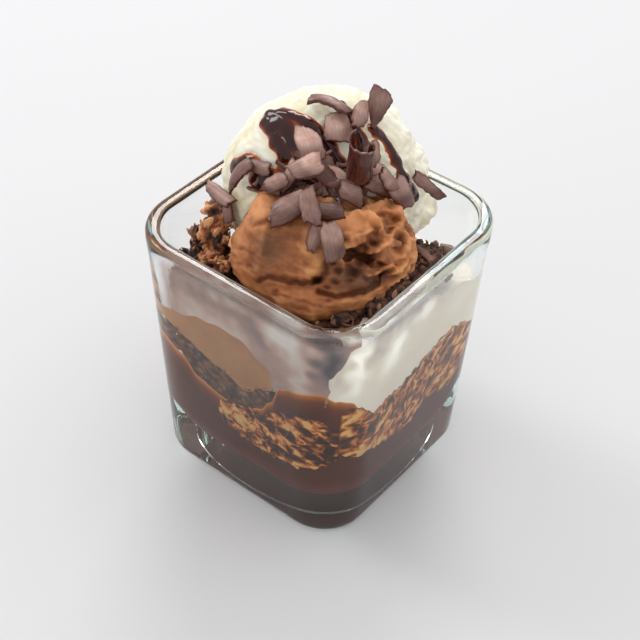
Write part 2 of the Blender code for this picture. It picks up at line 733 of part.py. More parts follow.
def build():
    glass = material("clear_glass", (225, 238, 234), 0.02, transmission=1.0)
    ganache_paint = material("ganache", (62, 36, 28), 0.3, coat=0.3)
    crunch_paint = material("toffee_crunch", (176, 112, 58), 0.55)
    crumb_paint = material("cookie_crumb", (78, 50, 36), 0.85)
    mousse_paint = material("mousse", (150, 98, 60), 0.6)
    vanilla_paint = material("vanilla_cream", (236, 230, 206), 0.5)
    brownie_paint = material("brownie", (46, 26, 20), 0.8)
    curl_paint = material("chocolate_curl", (98, 72, 66), 0.5)

    finish(cup(), glass)

    crunch_left = show(crunch_shape("left", CRUNCH_LEFT, True), "toffee_crunch_left")
    crunch_right = show(crunch_shape("right", CRUNCH_RIGHT, False), "toffee_crunch_right")
    round_left = crunch_shape("round_left", CRUNCH_LEFT, True, GROWN_ROUGH)
    round_right = crunch_shape("round_right", CRUNCH_RIGHT, False, GROWN_ROUGH)
    into_hollow(crunch_left)
    cut(crunch_right, round_left)
    into_hollow(crunch_right)

    ganache_top = height_of(GANACHE_TOP, "ganache")
    on_ganache = height_of(GANACHE_TOP, "ganache", LAYER_GAP)
    crumb_top = height_of(CRUMB_TOP, "crumb")
    on_crumb = highest(on_ganache, height_of(CRUMB_TOP, "crumb", LAYER_GAP))

    ganache = filled("ganache", ganache_top)
    cut(ganache, round_left, round_right)

    crumb_band = filled("cookie_crumb_band", crumb_top, on_ganache)
    one_side(crumb_band, False)
    cut(crumb_band, round_left)

    mousse_layer = filled("mousse_layer", height_of(MOUSSE_TOP, "mousse"), on_crumb)
    one_side(mousse_layer, False)

    cream_layer = filled("cream_layer", height_of(CREAM_TOP, "cream"), on_ganache)
    one_side(cream_layer, True)

    mousse, round_mousse = mousse_scoop()
    vanilla, round_vanilla = vanilla_scoop()
    cut(vanilla, round_mousse)

    brownie_left = heap("brownie_left", BROWNIE_LEFT, BROWNIE_LEFT_CORE)
    brownie_front = heap("brownie_front", BROWNIE_FRONT, BROWNIE_FRONT_CORE)
    cut(brownie_left, round_mousse, round_vanilla)
    cut(brownie_front, round_mousse, round_vanilla)
    round_brownies = [heap_shape("round_heap", BROWNIE_LEFT, BROWNIE_LEFT_CORE, GROWN_ROUGH),
                      heap_shape("round_heap", BROWNIE_FRONT, BROWNIE_FRONT_CORE, GROWN_ROUGH)]
    cut(mousse_layer, round_mousse, round_vanilla, *round_brownies)
    cut(cream_layer, round_right, round_mousse, round_vanilla, *round_brownies)

    finish(ganache, ganache_paint)
    finish(crunch_left, crunch_paint, False)
    finish(crunch_right, crunch_paint, False)
    finish(crumb_band, crumb_paint, False)
    finish(mousse_layer, mousse_paint)
    finish(cream_layer, vanilla_paint)
    finish(mousse, mousse_paint)
    finish(vanilla, vanilla_paint)
    finish(brownie_left, brownie_paint, False)
    finish(brownie_front, brownie_paint, False)
    for number, row in enumerate(CURLS, 1):
        finish(curl(f"chocolate_curl_{number:02d}", *row), curl_paint)


for old in list(bpy.data.objects):
    bpy.data.objects.remove(old)
PARTS = collection("dessert_shooter")
HELPERS = collection("cutters", hidden=True)
build()
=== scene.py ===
import math
from random import Random

import bmesh
import bpy
from mathutils import Euler, Matrix, Vector, noise
from mathutils.bvhtree import BVHTree


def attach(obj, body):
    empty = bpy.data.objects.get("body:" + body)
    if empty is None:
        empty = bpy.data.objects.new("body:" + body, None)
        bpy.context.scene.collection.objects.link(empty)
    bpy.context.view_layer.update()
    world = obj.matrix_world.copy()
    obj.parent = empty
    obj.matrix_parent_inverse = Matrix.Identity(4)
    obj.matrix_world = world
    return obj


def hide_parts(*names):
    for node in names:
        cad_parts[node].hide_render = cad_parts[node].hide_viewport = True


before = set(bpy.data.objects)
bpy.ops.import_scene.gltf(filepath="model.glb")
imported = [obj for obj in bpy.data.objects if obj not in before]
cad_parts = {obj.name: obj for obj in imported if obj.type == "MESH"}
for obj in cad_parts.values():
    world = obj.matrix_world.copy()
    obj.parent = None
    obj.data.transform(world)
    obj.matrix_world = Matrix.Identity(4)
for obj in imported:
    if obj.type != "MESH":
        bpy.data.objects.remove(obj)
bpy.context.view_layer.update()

MM = 0.001

# Sizes are in millimetres and turns of the layers in degrees, unless a comment says otherwise

# Cup: outline rings as (z, half width, corner radius)
OUTSIDE = (
    (0.0, 27.0, 10.2), (0.06, 27.35, 10.35), (0.3, 27.85, 10.6), (0.7, 28.25, 10.85), (1.3, 28.48, 11.0),
    (2.2, 28.62, 11.15), (8.0, 28.97, 11.5), (20.0, 29.68, 12.13), (34.0, 30.5, 12.85), (48.0, 31.32, 13.57),
    (58.0, 31.91, 14.1), (62.5, 32.2, 14.35), (64.6, 32.42, 14.52), (65.8, 32.48, 14.56),
)
RIM_MIDDLE = 30.47
RIM_HALF_WIDTH = 2.01
RIM_BASE = 65.8
RIM_TOP = 68.0
RIM_SQUARENESS = 0.6
RIM_STEPS = 16
RIM_CORNER = 9.4
RIM_CORNER_GAIN = 5.1
LIP_INSIDE = (65.6, 28.4, 9.4)
INSIDE = ((16.0, 25.1, 12.8), (24.0, 25.91, 11.275), (64.0, 28.26, 9.4), (68.0, 28.5, 9.4))
WALL_RINGS = (58.0, 48.0, 38.0, 30.0, 24.0, 20.0)
FLOOR = 8.0
FLOOR_RINGS = ((11.0, 8.0), (5.0, 4.0))
BOWL_TOP = 16.0
BOWL_REACH = 8.1
BOWL_ROUNDING = 0.9
BOWL_STEPS = 12
BOWL_CORNER_LOSS = 1.8
AROUND = 192
PUNT = (
    (0.4, 6.0), (0.4, 12.0), (0.4, 18.0), (0.4, 22.8), (0.38, 23.0), (0.3, 23.15), (0.16, 23.3),
    (0.05, 23.42), (0.0, 23.6),
)

# Heights of the layers at the wall by angle, and in the middle
GANACHE_TOP = (
    (-180, 37), (-135, 38), (-124, 36), (-115, 31), (-99, 29), (-85, 30.5), (-76, 33), (-70, 37),
    (-65, 43.8), (-60, 45.4), (-51, 47.5), (-45, 47), (-40, 44.5), (-33, 37), (-20, 34), (20, 34),
    (36, 34), (42, 38), (48, 39), (90, 37), (135, 38), (180, 37),
)
CRUMB_TOP = (
    (-180, 44), (-134, 45.6), (-127, 45), (-118, 43), (-113, 41.7), (-104, 40), (-98, 39.3),
    (-85, 37.2), (-74, 41), (-68, 42.5), (-60, 45), (0, 45), (90, 44), (180, 44),
)
MOUSSE_TOP = (
    (-180, 48), (-134, 47.4), (-121, 49.7), (-111, 52), (-99, 52.6), (-87, 52.5),
    (-74, 48.6), (-64, 45.8), (-50, 45.8), (0, 48), (90, 48), (180, 48),
)
CREAM_TOP = (
    (-180, 48), (-90, 47), (-56, 47.8), (-50, 49.5), (-47, 52.5), (-44, 56),
    (-40.5, 62), (-30, 63), (-7, 62.5), (8, 60), (15, 57), (25, 57.5), (38, 54), (45, 51),
    (90, 50), (135, 49), (180, 48),
)
MIDDLE = {"ganache": 33, "crumb": 40, "mousse": 48.5, "cream": 53}
WALL_REACH = 25.5
FIRST_REACH = 26.5
INTO_WALL = {"ganache": 0.3, "crumb": 0.22, "mousse": 0.26, "cream": 0.24}
UNDERSIDE = 7.9
OVERLAP = 0.8
LAYER_RINGS = 22
LAYER_ROWS = 26
LAYER_TURNS = 288

# Where the crumb and mousse layers meet the cream, as an upright plane
JOIN_TURN = math.radians(49.5)
JOIN_DISTANCE = -4.2

# Crunch pressed against the glass
CRUNCH_GRID = (260, 140)
CRUNCH_REACH = 0.1
CRUNCH_RADIUS = 28.0
CRUNCH_EDGE = 1.5
CRUNCH_BACK = 0.72
# Its outline on each front side, as (x or y, lower z, upper z)
CRUNCH_LEFT = (
    (-7.6, 23, 24.6), (-5.5, 20.6, 28), (-2, 19.3, 29.3), (2, 19.1, 31), (6.5, 18.4, 30.8),
    (12, 18.6, 35.6), (18, 19.4, 38.8), (22, 20.6, 38), (24.2, 26, 34),
)
CRUNCH_RIGHT = (
    (-22.6, 28, 40), (-20.8, 25.2, 42.8), (-18.6, 24.4, 41), (-15.3, 23.5, 37), (-9.2, 21.4, 38.4),
    (-3, 20.1, 39.2), (1, 19.8, 40.4), (5, 23.4, 41.2), (7.5, 24.0, 41.7), (10.6, 22.6, 42.4),
    (14.8, 20.8, 42), (19, 20.3, 40.8), (22.4, 25, 37),
)

# Lighter and darker places of the golden crunch, as (angle, height, half width, half height, amount)
GOLD_LEFT = (
    (-92, 25.0, 14, 4.6, 0.56), (-103, 26.5, 5, 2.0, 0.3), (-62, 33.0, 6, 1.8, 0.42),
    (-56, 37.6, 2.6, 0.8, 0.75), (-52, 36.6, 2.4, 0.8, 0.8), (-49, 35.6, 2.0, 0.7, 0.75),
    (-52, 31.6, 2.6, 0.9, 0.75), (-58, 31.8, 3.4, 0.9, 0.6), (-63, 27.0, 3.2, 1.1, 0.55),
    (-69, 26.2, 3.0, 1.1, 0.5), (-51, 28.8, 2.4, 0.8, 0.65), (-71, 19.4, 3.2, 1.0, 0.55),
    (-64, 19.8, 3.2, 1.0, 0.6), (-52, 21.8, 3.0, 1.0, 0.65), (-57, 21.2, 3.0, 0.8, 0.5),
    (-57, 25.4, 2.4, 0.8, 0.45), (-76, 22.0, 4.0, 1.2, 0.35), (-55, 34.4, 3.0, 0.7, -0.3),
    (-66, 23.2, 4.0, 1.2, -0.3), (-46, 29.0, 3.0, 5.0, -0.3),
)
GOLD_RIGHT = (
    (-39, 40.9, 3.0, 1.9, 0.4), (-41, 37.4, 1.8, 1.2, 0.2), (-35, 26.0, 4.4, 1.2, 0.6),
    (-23, 25.2, 5.0, 1.9, 0.45), (33, 31.0, 1.8, 2.6, 0.6), (24, 28.2, 1.8, 1.6, 0.55),
    (33, 35.6, 2.0, 2.0, 0.4), (34, 24.2, 1.6, 1.8, 0.45), (-33, 33.0, 4.0, 2.6, -0.35),
    (28, 33.0, 2.6, 3.0, -0.3), (19, 31.0, 3.0, 2.6, -0.25), (6, 24.0, 5.0, 1.6, 0.25),
)

# Film of mousse on the front left wall: angles, heights, and its share of the radius at the back
FILM_FROM = -131
FILM_TO = -38
FILM_BASE = 43.5
FILM_TOP = 65.2
FILM_GRID = (190, 80)
FILM_REACH = 0.12
FILM_BACK = 0.9985

# Painted reflection and painted shade on the film: lighter and darker tones of what shows through the glass,
# laid out like those of the crunch
FILM_PAINTED_LIGHT = (
    (-106, 51.5, 15, 3.6, 0.36), (-76, 57.0, 7.5, 3.0, -0.16), (-47.5, 57.5, 4.6, 7.0, -0.5),
    (-56.5, 52.0, 2.6, 10, 0.3), (-63, 60.5, 7, 4.0, 0.75), (-88, 53.5, 7, 2.4, 0.2),
    (-88, 59.0, 7, 2.0, -0.06), (-95, 63.5, 16, 1.6, 0.3),
)
# Lower edge of the film, as (angle, height)
FILM_LOW = (
    (-131, 46.0), (-128, 46.9), (-119, 48.5), (-109, 49.7), (-98, 50.5), (-89, 50.2), (-83, 49.7),
    (-78, 48.3), (-73, 46.9), (-70, 44.9), (-62, 43.5), (-38, 43.5),
)
# Where the film is thinner
FILM_THIN = ((-112, 60.0, 14, 3.2, 0.55), (-86, 60.0, 7, 3.0, 0.42))
# Greyer and brighter places of the cream
CREAM_SHADE = (
    (-31, 58.0, 4.5, 2.6, 0.6), (-25, 63.2, 11, 2.4, 0.9), (-3, 62.8, 13, 2.0, 0.9),
    (20, 60.0, 10, 2.2, 0.8), (-13, 56.0, 3.0, 1.2, 0.3), (-44, 53.0, 3.0, 5.0, 0.3),
    (-9, 60.0, 9, 2.0, 0.35), (14, 56.0, 12, 5.0, 0.25),
)
CREAM_LIGHT = (
    (-37.5, 56.5, 2.4, 6.5, 1.0), (0, 58.2, 7, 1.9, 0.7), (-19, 54.6, 5, 2.6, 0.85), (-23, 51.0, 6, 3.5, 0.7),
    (-40, 48.0, 3.0, 2.0, 0.5),
)

# Scoops
SCOOP_TURN = math.radians(37.3)
VANILLA_CENTRE = Vector((-5.2, 7.3, 69.0))
VANILLA_AXES = (23.6, 17.3, 26.9)
VANILLA_BELOW = 21.0
VANILLA_VOXEL = 0.42
VANILLA_LUMPS = (
    (6.8, 22.6, 74.0, 5.4), (10.8, 20.6, 64.0, 5.6), (2.6, 15.5, 84.0, 6.6), (-17.5, -2.0, 66.0, 4.6),
    (-15.0, 2.0, 81.0, 6.5), (-4.0, 9.0, 88.0, 7.6), (9.0, 12.0, 72.0, 7.0),
)
MOUSSE_CENTRE = Vector((7.3, -8.5, 66.5))
MOUSSE_AXES = (20.6, 16.5, 14.2)
MOUSSE_VOXEL = 0.33
UNDERCUT = 0.34
UNDERCUT_RIGHT = 0.1
SHOULDER_RIGHT = 0.12
PRESSED_FROM = Vector((0.0, -0.739, 0.674))
PRESSED_UP = Vector((0.0, 0.674, 0.739))
# Marks on the mousse scoop, as (across, up, half width, half height, outward move)
MOUSSE_MARKS = (
    (-14.5, 9.0, 5.0, 5.0, 2.2), (-8.5, -0.5, 5.0, 6.5, -2.6), (-1.8, -1.5, 2.6, 5.5, 0.9),
    (-3.0, -7.4, 7.0, 1.4, -1.6), (0.0, -10.8, 10.0, 2.6, 1.0), (7.5, 0.0, 3.0, 1.4, -2.2),
    (12.0, -1.2, 3.4, 1.3, -1.8), (14.4, 6.8, 2.6, 1.3, -2.0), (9.0, 7.0, 3.5, 3.0, 1.2),
    (16.0, 10.5, 3.6, 3.2, 1.8), (15.5, 2.8, 3.5, 2.0, 1.4), (3.5, 12.5, 5.0, 3.0, -1.0),
)
MARK_FADE = 6.0
# Drawn outline of the mousse scoop, as (across, up, half width, half height, move across, move up)
MOUSSE_DRAWS = (
    (-13.5, 11.0, 4.5, 4.0, -1.0, 2.4), (-1.5, -13.0, 9.0, 5.0, 0.0, -2.2),
    (14.0, 11.0, 4.0, 4.0, 0.6, 1.2),
)
# Finer folds of the mousse scoop in the same frame, as (half width, outward move, points)
MOUSSE_FOLDS = (
    (0.55, -1.3, ((-13.7, -6.6), (-11.4, -5.7), (-7.9, -6.1), (-4.5, -6.9), (-2.2, -6.5), (-0.2, -5.8))),
    (1.3, 1.0, ((-3.9, 0.4), (-0.8, -1.3), (-0.6, -3.8), (-2.4, -5.4))),
    (0.5, -1.3, ((0.7, -1.6), (0.9, -4.2), (-0.3, -5.8))),
    (1.0, 0.7, ((-12.6, 5.6), (-13.0, 1.3), (-13.9, -3.5))),
    (0.5, -0.9, ((-16.3, 7.8), (-15.2, 5.2), (-12.8, 6.1), (-10.6, 7.0))),
    (0.4, -0.5, ((-20.0, 0.4), (-16.4, 0.0), (-13.6, -1.9))),
    (0.4, -0.5, ((-18.6, -3.0), (-15.8, -3.4))),
    (0.5, -1.5, ((-0.5, -8.3), (3.0, -9.3), (5.0, -9.0), (8.7, -8.1), (12.2, -6.4), (14.2, -3.9),
                 (15.9, -2.1))),
    (0.9, 0.8, ((5.0, -10.6), (9.3, -9.7), (12.8, -7.4), (15.3, -4.5), (17.5, -1.9))),
    (0.35, -0.5, ((-10.0, -9.4), (-5.0, -10.4), (0.0, -11.6))),
    (0.35, -0.4, ((-6.0, -12.2), (-1.0, -13.0), (5.0, -12.6))),
    (0.8, 0.6, ((-1.8, -11.6), (-1.2, -14.8))),
    (0.6, -1.0, ((9.0, 1.2), (11.2, 2.6), (11.6, 5.6))),
    (0.6, 0.9, ((6.0, 9.6), (9.6, 8.4), (12.0, 7.6))),
)
# Holes and crumbs torn out of it, as (across, up, half width, half height, outward move)
MOUSSE_TEARS = (
    (8.9, -0.9, 2.5, 1.1, -3.0), (6.8, 0.3, 1.1, 0.8, -1.8), (12.8, -2.2, 1.2, 0.8, -1.6),
    (-0.9, -5.9, 1.2, 0.8, -1.6), (15.2, 8.4, 1.5, 0.7, -2.4), (13.0, 9.0, 1.6, 0.5, -1.3),
    (8.4, 11.4, 0.8, 0.7, -1.2), (8.7, 9.7, 0.6, 0.6, -0.9), (11.0, 5.0, 0.8, 0.6, -1.3),
    (11.0, 2.5, 1.0, 0.6, -1.4), (14.5, 5.6, 0.8, 0.6, -1.3), (16.3, 2.8, 1.0, 2.2, -1.6),
    (19.1, 6.2, 0.8, 0.6, -1.2), (6.4, 9.6, 1.8, 1.4, 0.8), (10.7, 7.8, 1.6, 1.2, 0.9),
    (14.2, 1.1, 1.4, 1.0, 1.1), (18.8, 2.5, 1.2, 1.6, 0.8), (18.0, 10.6, 1.6, 1.0, 0.8),
    (2.1, -2.2, 0.8, 0.6, -1.0), (3.6, -3.9, 0.9, 0.5, -1.0), (5.4, -2.3, 0.7, 0.6, -0.9),
    (7.2, -4.1, 0.9, 0.6, -0.9), (3.0, -6.4, 0.9, 0.5, -0.9), (1.2, -7.4, 0.7, 0.5, -0.8),
    (9.6, -5.2, 1.0, 0.5, -0.8), (6.0, -6.0, 0.8, 0.5, -0.8), (-9.6, -8.6, 0.5, 0.4, -0.5),
    (1.8, -10.2, 0.6, 0.4, -0.6),
)
# Painted light and shade: where its brown turns to a lit light caramel (above 0) or to a shaded dull greyish
# brown (below 0)
MOUSSE_PAINTED_LIGHT = (
    (-13.9, 10.4, 4.4, 5.0, 0.55), (-17.8, 2.0, 3.0, 7.0, 0.2), (-11.6, 0.6, 3.6, 5.0, -0.55),
    (-5.6, 3.6, 4.0, 4.0, -0.1), (7.0, 9.0, 4.4, 4.6, 0.85), (16.5, 9.6, 4.0, 3.0, 0.35),
    (14.4, 1.0, 3.0, 2.6, 0.4), (8.2, 4.4, 3.0, 2.4, -0.05), (5.0, -4.4, 6.0, 3.4, -0.5),
    (10.5, -6.8, 3.6, 1.6, -0.5), (13.0, -8.0, 3.0, 1.6, 0.3), (-3.2, -4.4, 1.8, 1.6, 0.25),
)

# Brownie crumbs as (x, y, z, radius)
BROWNIE_LEFT = (
    (-15.0, -20.5, 54.5, 5.0), (-19.0, -18.8, 57.0, 4.4), (-10.5, -21.8, 56.0, 4.4),
    (-19.6, -22.6, 53.4, 3.6), (-22.4, -18.5, 53.5, 3.8), (-18.6, -15.0, 63.0, 3.2),
    (-20.6, -14.5, 56.5, 4.2), (-20.0, -13.4, 68.0, 2.2), (-15.5, -21.0, 60.2, 3.0),
    (-6.0, -23.2, 55.0, 3.4), (-20.6, -17.8, 62.6, 2.3), (-16.6, -17.4, 63.6, 2.4),
    (-19.6, -16.2, 66.0, 1.8), (-11.8, -20.6, 60.0, 2.8), (-21.4, -16.4, 59.4, 2.8),
    (-17.4, -14.4, 66.2, 2.0), (-10.4, -18.9, 58.6, 2.8),
)
BROWNIE_FRONT = (
    (14.5, -22.6, 56.0, 3.4), (19.0, -20.5, 57.5, 4.4), (21.8, -17.4, 59.9, 4.3), (24.0, -12.6, 64.6, 3.0),
    (24.9, -8.2, 64.8, 2.6), (25.2, -3.8, 64.6, 2.7), (25.0, 0.8, 64.4, 2.8), (24.6, 5.2, 62.8, 2.9),
    (23.8, 9.4, 61.6, 3.1), (22.6, 13.4, 60.6, 2.6), (18.0, -22.6, 60.8, 2.6), (22.4, -19.6, 63.6, 2.2),
    (9.5, -23.8, 55.0, 3.2), (20.6, -22.4, 56.0, 2.6), (23.2, -2.0, 62.8, 3.2), (22.6, 5.0, 62.6, 3.2),
    (4.6, -24.0, 54.2, 3.1), (1.4, -24.4, 50.4, 2.7), (6.6, -24.2, 49.6, 3.1), (12.2, -24.2, 50.6, 3.2),
    (17.4, -23.2, 51.6, 3.4), (21.8, -20.6, 52.4, 3.2),
    (20.8, 10.6, 62.0, 3.0), (22.6, -9.0, 62.6, 2.8), (26.0, -6.0, 66.4, 1.7), (25.8, 3.0, 65.4, 1.8),
)
BROWNIE_VOXEL = 0.4
BROWNIE_KNOBS = 7
SHARD_BATCH = 60

# Sauce on the vanilla scoop: a radius, then (turn, rise) in degrees seen from its centre
DRIZZLES = (
    (1.3, ((-134, 60), (-118, 68), (-90, 71), (-66, 69), (-51, 64), (-41, 57), (-35, 49))),
    (1.9, ((-128, 58), (-113, 58), (-99, 55), (-90, 51))),
    (2.6, ((-121, 62), (-104, 63), (-90, 59))),
    (1.3, ((-10, 80), (-11, 73), (-10, 67), (-10, 61), (-12, 57))),
    (1.2, ((9, 62), (9, 55), (10, 47), (10, 39), (10, 32), (13, 23), (17, 14))),
    (1.8, ((-124, 27), (-118, 35), (-108, 37), (-100, 35), (-93, 35))),
    (2.6, ((-104, 33), (-95, 31))),
    (3.0, ((-78, 45), (-66, 38), (-50, 33), (-34, 32))),
)

# Chocolate curls
CURL_THICKNESS = 0.7
CURL_WORN = 0.14
CLOSED_ARC = 200
# Centre, rotation in degrees, length, width, arc, taper, lengthways bow, paleness of the outer side
# (chocolate bloom and painted reflection)
CURLS = (
    ((-1.9, -10.1, 84.8), (-2, 58, -106), 7.7, 4.0, 80, -0.3, 0.3, 0.9),
    ((-9.1, -11, 84.4), (40, -3, 8), 5.5, 3.4, 60, 0.2, 0.0, 0.6),
    ((-13.4, -14.7, 81.7), (-42, 63, -161), 11.0, 3.2, 70, -0.4, 1.6, 0.35),
    ((-3.7, -13.6, 82.1), (77, 0, 10), 4.9, 2.4, 70, 0, 0, 0.2),
    ((-15.5, -14.9, 70.5), (32, 52, -45), 4.6, 2.8, 80, 0, 0.4, 0.55),
    ((-18.8, -13.8, 73.8), (33, -1, -10), 8.9, 4.2, 120, 0, 0.0, 0.8),
    ((-2, -13.6, 85.1), (53, -30, 43), 5.3, 3.8, 60, 0.3, 0, 0.95),
    ((0.5, -5.8, 92.1), (21, 35, -28), 8.5, 5.8, 60, 0.25, 0.4, 1.3),
    ((7.8, -4.2, 85.1), (59, 25, 34), 7.1, 5.6, 120, -0.3, 0, 1.5),
    ((12.1, 4, 85.1), (60, 28, 54), 5.9, 4.0, 70, 0, 0.2, 1.5),
    ((14.9, 2.7, 83.1), (63, 30, 61), 8.1, 5.2, 110, 0.2, 0, 0.4),
    ((18.5, 5.4, 81.4), (58, 63, 49), 9.3, 5.4, 80, -0.3, 0.4, 0.5),
    ((11.1, 3.1, 89.6), (20, 52, -28), 5.1, 3.6, 60, 0, 0, 0.8),
    ((3.1, 0.9, 94.2), (0, 36, -41), 6.4, 6.4, 50, 0.35, 0.2, 1.2),
    ((3.4, -16.1, 83.1), (28, -22, 63), 8.9, 6.8, 120, -0.2, 0.5, 0.7),
    ((10.5, -10.6, 82.7), (23, 6, 38), 5.9, 5.0, 120, 0, 0, 0.25),
    ((8.4, -15.2, 84.9), (12, 23, -39), 8.5, 4.8, 80, -0.3, 0, 0.5),
    ((17, -17.7, 81.5), (11, 50, -33), 8.2, 5.6, 110, 0, 0.0, 0.6),
    ((12.6, -18.1, 80.1), (-29, 39, -74), 5.9, 3.4, 60, -0.3, 0, 0.85),
    ((-0.4, 3.4, 98.7), (-16, 5, 6), 10.1, 4.2, 90, -0.5, 1.2, 0.55),
    ((6.4, 4.8, 97.5), (-26, 16, -61), 7.1, 3.8, 70, 0.2, 0.3, 0.85),
    ((6.8, 10.1, 96), (-15, 46, -73), 8.7, 4.4, 60, -1.3, 0.2, 0.35),
    ((6.2, -8.2, 88.7), (46, 33, 8), 5.8, 4.0, 90, 0.2, 0, 0.1),
    ((11.9, -4.9, 84.1), (46, 29, 33), 5.7, 4.6, 80, -0.2, 0.2, 0.6),
    ((17.4, 1.3, 86.5), (39, 57, 32), 5.8, 3.2, 60, -0.2, 0.2, 0.85),
    ((12.7, -3.8, 90.5), (-169, 81, 137), 9.0, 12.6, 300, 0, 0, 1.1),
    ((4.1, -11.1, 90.7), (-53, 22, -135), 7.5, 5.6, 110, -0.2, 0, 1.25),
    ((18.7, 15, 77.7), (77, 47, 53), 10.5, 2.8, 40, 0, 0, 0.45),
    ((21.4, 21.1, 57.7), (12, 3, 15), 3.8, 2.8, 60, 0.2, 0, 0.35),
    ((24.1, 6.6, 66.8), (26, -16, -29), 9.5, 1.8, 40, 0, 0, 0.5),
)

# Camera, in metres and as unit vectors
LENS = 82.517
SENSOR = 36.0
NEAREST = 0.01
CAMERA_PLACE = (0.15960, -0.20831, 0.27603)
VIEW_ACROSS = Vector((0.77905, 0.62631, 0.02870))
VIEW_UP = Vector((-0.43890, 0.51209, 0.73833))
VIEW_BACK = Vector((0.44772, -0.58779, 0.67383))

# Small shavings between the curls, scattered over a disc that faces the camera
BIT_SEED = 11
BIT_COUNT = 96
BIT_CENTRE = (5.7, -6.4, 84.0)
BIT_SPREAD = (5.4, 3.0)
BIT_THICKNESS = 0.5

# Room, in metres
FLOOR_SIZE = 3.0
FLOOR_DROP = 0.00002
FLOOR_TONE = (213, 212, 213)
ROOM_TONE = (0.97, 0.975, 0.985, 1)
ROOM_STRENGTH = 0.82
# Lamps as (place, target, size, power)
LAMPS = {
    "window": ((-0.62, -0.1, 0.6), (0, 0, 0.06), (0.2, 0.3), 1.7),
    "far_window": ((-0.6, 0.87, 0.93), (0, 0, 0.06), (0.6, 0.3), 6.0),
    "ceiling": ((0.25, 0.35, 0.95), (0, 0, 0.05), (0.9, 0.9), 1.8),
}


# Small sums


def held(t):
    """Number kept between 0 and 1."""
    return min(1.0, max(0.0, t))


def ease(t):
    t = held(t)
    return t * t * (3 - 2 * t)


def direction(turn, rise):
    return Vector((math.cos(rise) * math.cos(turn), math.cos(rise) * math.sin(turn), math.sin(rise)))


def at_angle(angle, radius, z):
    return Vector((radius * math.cos(angle), radius * math.sin(angle), z))


def between(table, x):
    """Value at x of a table of (x, value) rows, eased from row to row."""
    if x <= table[0][0]:
        return table[0][1]
    for (x0, v0), (x1, v1) in zip(table, table[1:]):
        if x <= x1:
            return v0 + (v1 - v0) * ease((x - x0) / (x1 - x0))
    return table[-1][1]


def straight(table, x):
    """Row of a table at x, with straight lines between its rows."""
    if x <= table[0][0]:
        return table[0][1:]
    for low, high in zip(table, table[1:]):
        if x <= high[0]:
            share = (x - low[0]) / (high[0] - low[0])
            return tuple(a + (b - a) * share for a, b in zip(low[1:], high[1:]))
    return table[-1][1:]


def cloud(point, size, seed=0.0):
    return noise.noise(Vector(point) / size + Vector((seed * 7.31, seed * 3.17, seed * 5.53)))


def rough(point, size, layers=3, seed=0.0):
    """Noise of several sizes laid over each other, about -1 to 1."""
    total = 0.0
    weight = 1.0
    for _ in range(layers):
        total += weight * cloud(point, size, seed)
        size *= 0.48
        weight *= 0.55
        seed += 1.7
    return total


def square_radius(angle, half, corner):
    """Distance from the axis to a square with rounded corners."""
    c, s = abs(math.cos(angle)), abs(math.sin(angle))
    a = half - corner
    if half * s <= a * c:
        return half / c
    if half * c <= a * s:
        return half / s
    return a * (c + s) + math.sqrt(max(0.0, (a * (c + s)) ** 2 - 2 * a * a + corner * corner))


def bowl(z):
    """Half width and corner radius of the hollow where its bottom is rounded."""
    share = held((BOWL_TOP - z) / (BOWL_TOP - FLOOR))
    turn = math.asin(share ** (1 / BOWL_ROUNDING))
    _, half, corner = INSIDE[0]
    drawn_in = BOWL_REACH * (1 - math.cos(turn) ** BOWL_ROUNDING)
    return half - drawn_in, corner - BOWL_CORNER_LOSS * turn / (math.pi / 2)


def wall_radius(angle, z):
    half, corner = bowl(z) if z < BOWL_TOP else straight(INSIDE, z)
    return square_radius(angle, half, corner)


def linear(red, green, blue):
    """Linear colour from 0-255 display values."""
    return tuple((c / 255 / 12.92) if c < 10.3 else ((c / 255 + 0.055) / 1.055) ** 2.4
                 for c in (red, green, blue)) + (1.0,)


def spread(table, x, y):
    """Sum at (x, y) of soft round spots, as (x, y, half width, half height, amount) rows."""
    total = 0.0
    for x0, y0, width, height, amount in table:
        total += amount * math.exp(-((x - x0) / width) ** 2 - ((y - y0) / height) ** 2)
    return total


# Meshes


def piece(name, bm, finish, slot, *replaced, flat=False):
    """Object of the dessert, from a mesh in millimetres."""
    bmesh.ops.scale(bm, vec=(MM, MM, MM), verts=bm.verts)
    mesh = bpy.data.meshes.new(name)
    bm.to_mesh(mesh)
    bm.free()
    for face in mesh.polygons:
        face.use_smooth = not flat
    obj = bpy.data.objects.new(name, mesh)
    bpy.context.scene.collection.objects.link(obj)
    mesh.materials.append(finish)
    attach(obj, "root")
    if replaced:
        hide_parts(*replaced)
    return obj


def outward(bm, gap=0.001):
    """Merges doubles and turns every face outwards."""
    bmesh.ops.remove_doubles(bm, verts=bm.verts, dist=gap)
    bmesh.ops.recalc_face_normals(bm, faces=bm.faces)


def skin(bm, voxel):
    """One closed skin round everything in the mesh, as a new mesh."""
    mesh = bpy.data.meshes.new("core")
    bm.to_mesh(mesh)
    bm.free()
    obj = bpy.data.objects.new("core", mesh)
    bpy.context.scene.collection.objects.link(obj)
    step = obj.modifiers.new("Skin", "REMESH")
    step.mode = "VOXEL"
    step.voxel_size = voxel
    graph = bpy.context.evaluated_depsgraph_get()
    made = bmesh.new()
    made.from_mesh(obj.evaluated_get(graph).to_mesh())
    bpy.data.objects.remove(obj)
    return made


def relax(bm, rounds, factor=0.5):
    for _ in range(rounds):
        bmesh.ops.smooth_vert(
            bm, verts=bm.verts, factor=factor, use_axis_x=True, use_axis_y=True, use_axis_z=True)


def push(bm, depth_at):
    """Moves each point along its normal by what depth_at gives for it."""
    bm.normal_update()
    moves = [vert.normal * depth_at(vert.co) for vert in bm.verts]
    for vert, move in zip(bm.verts, moves):
        vert.co += move


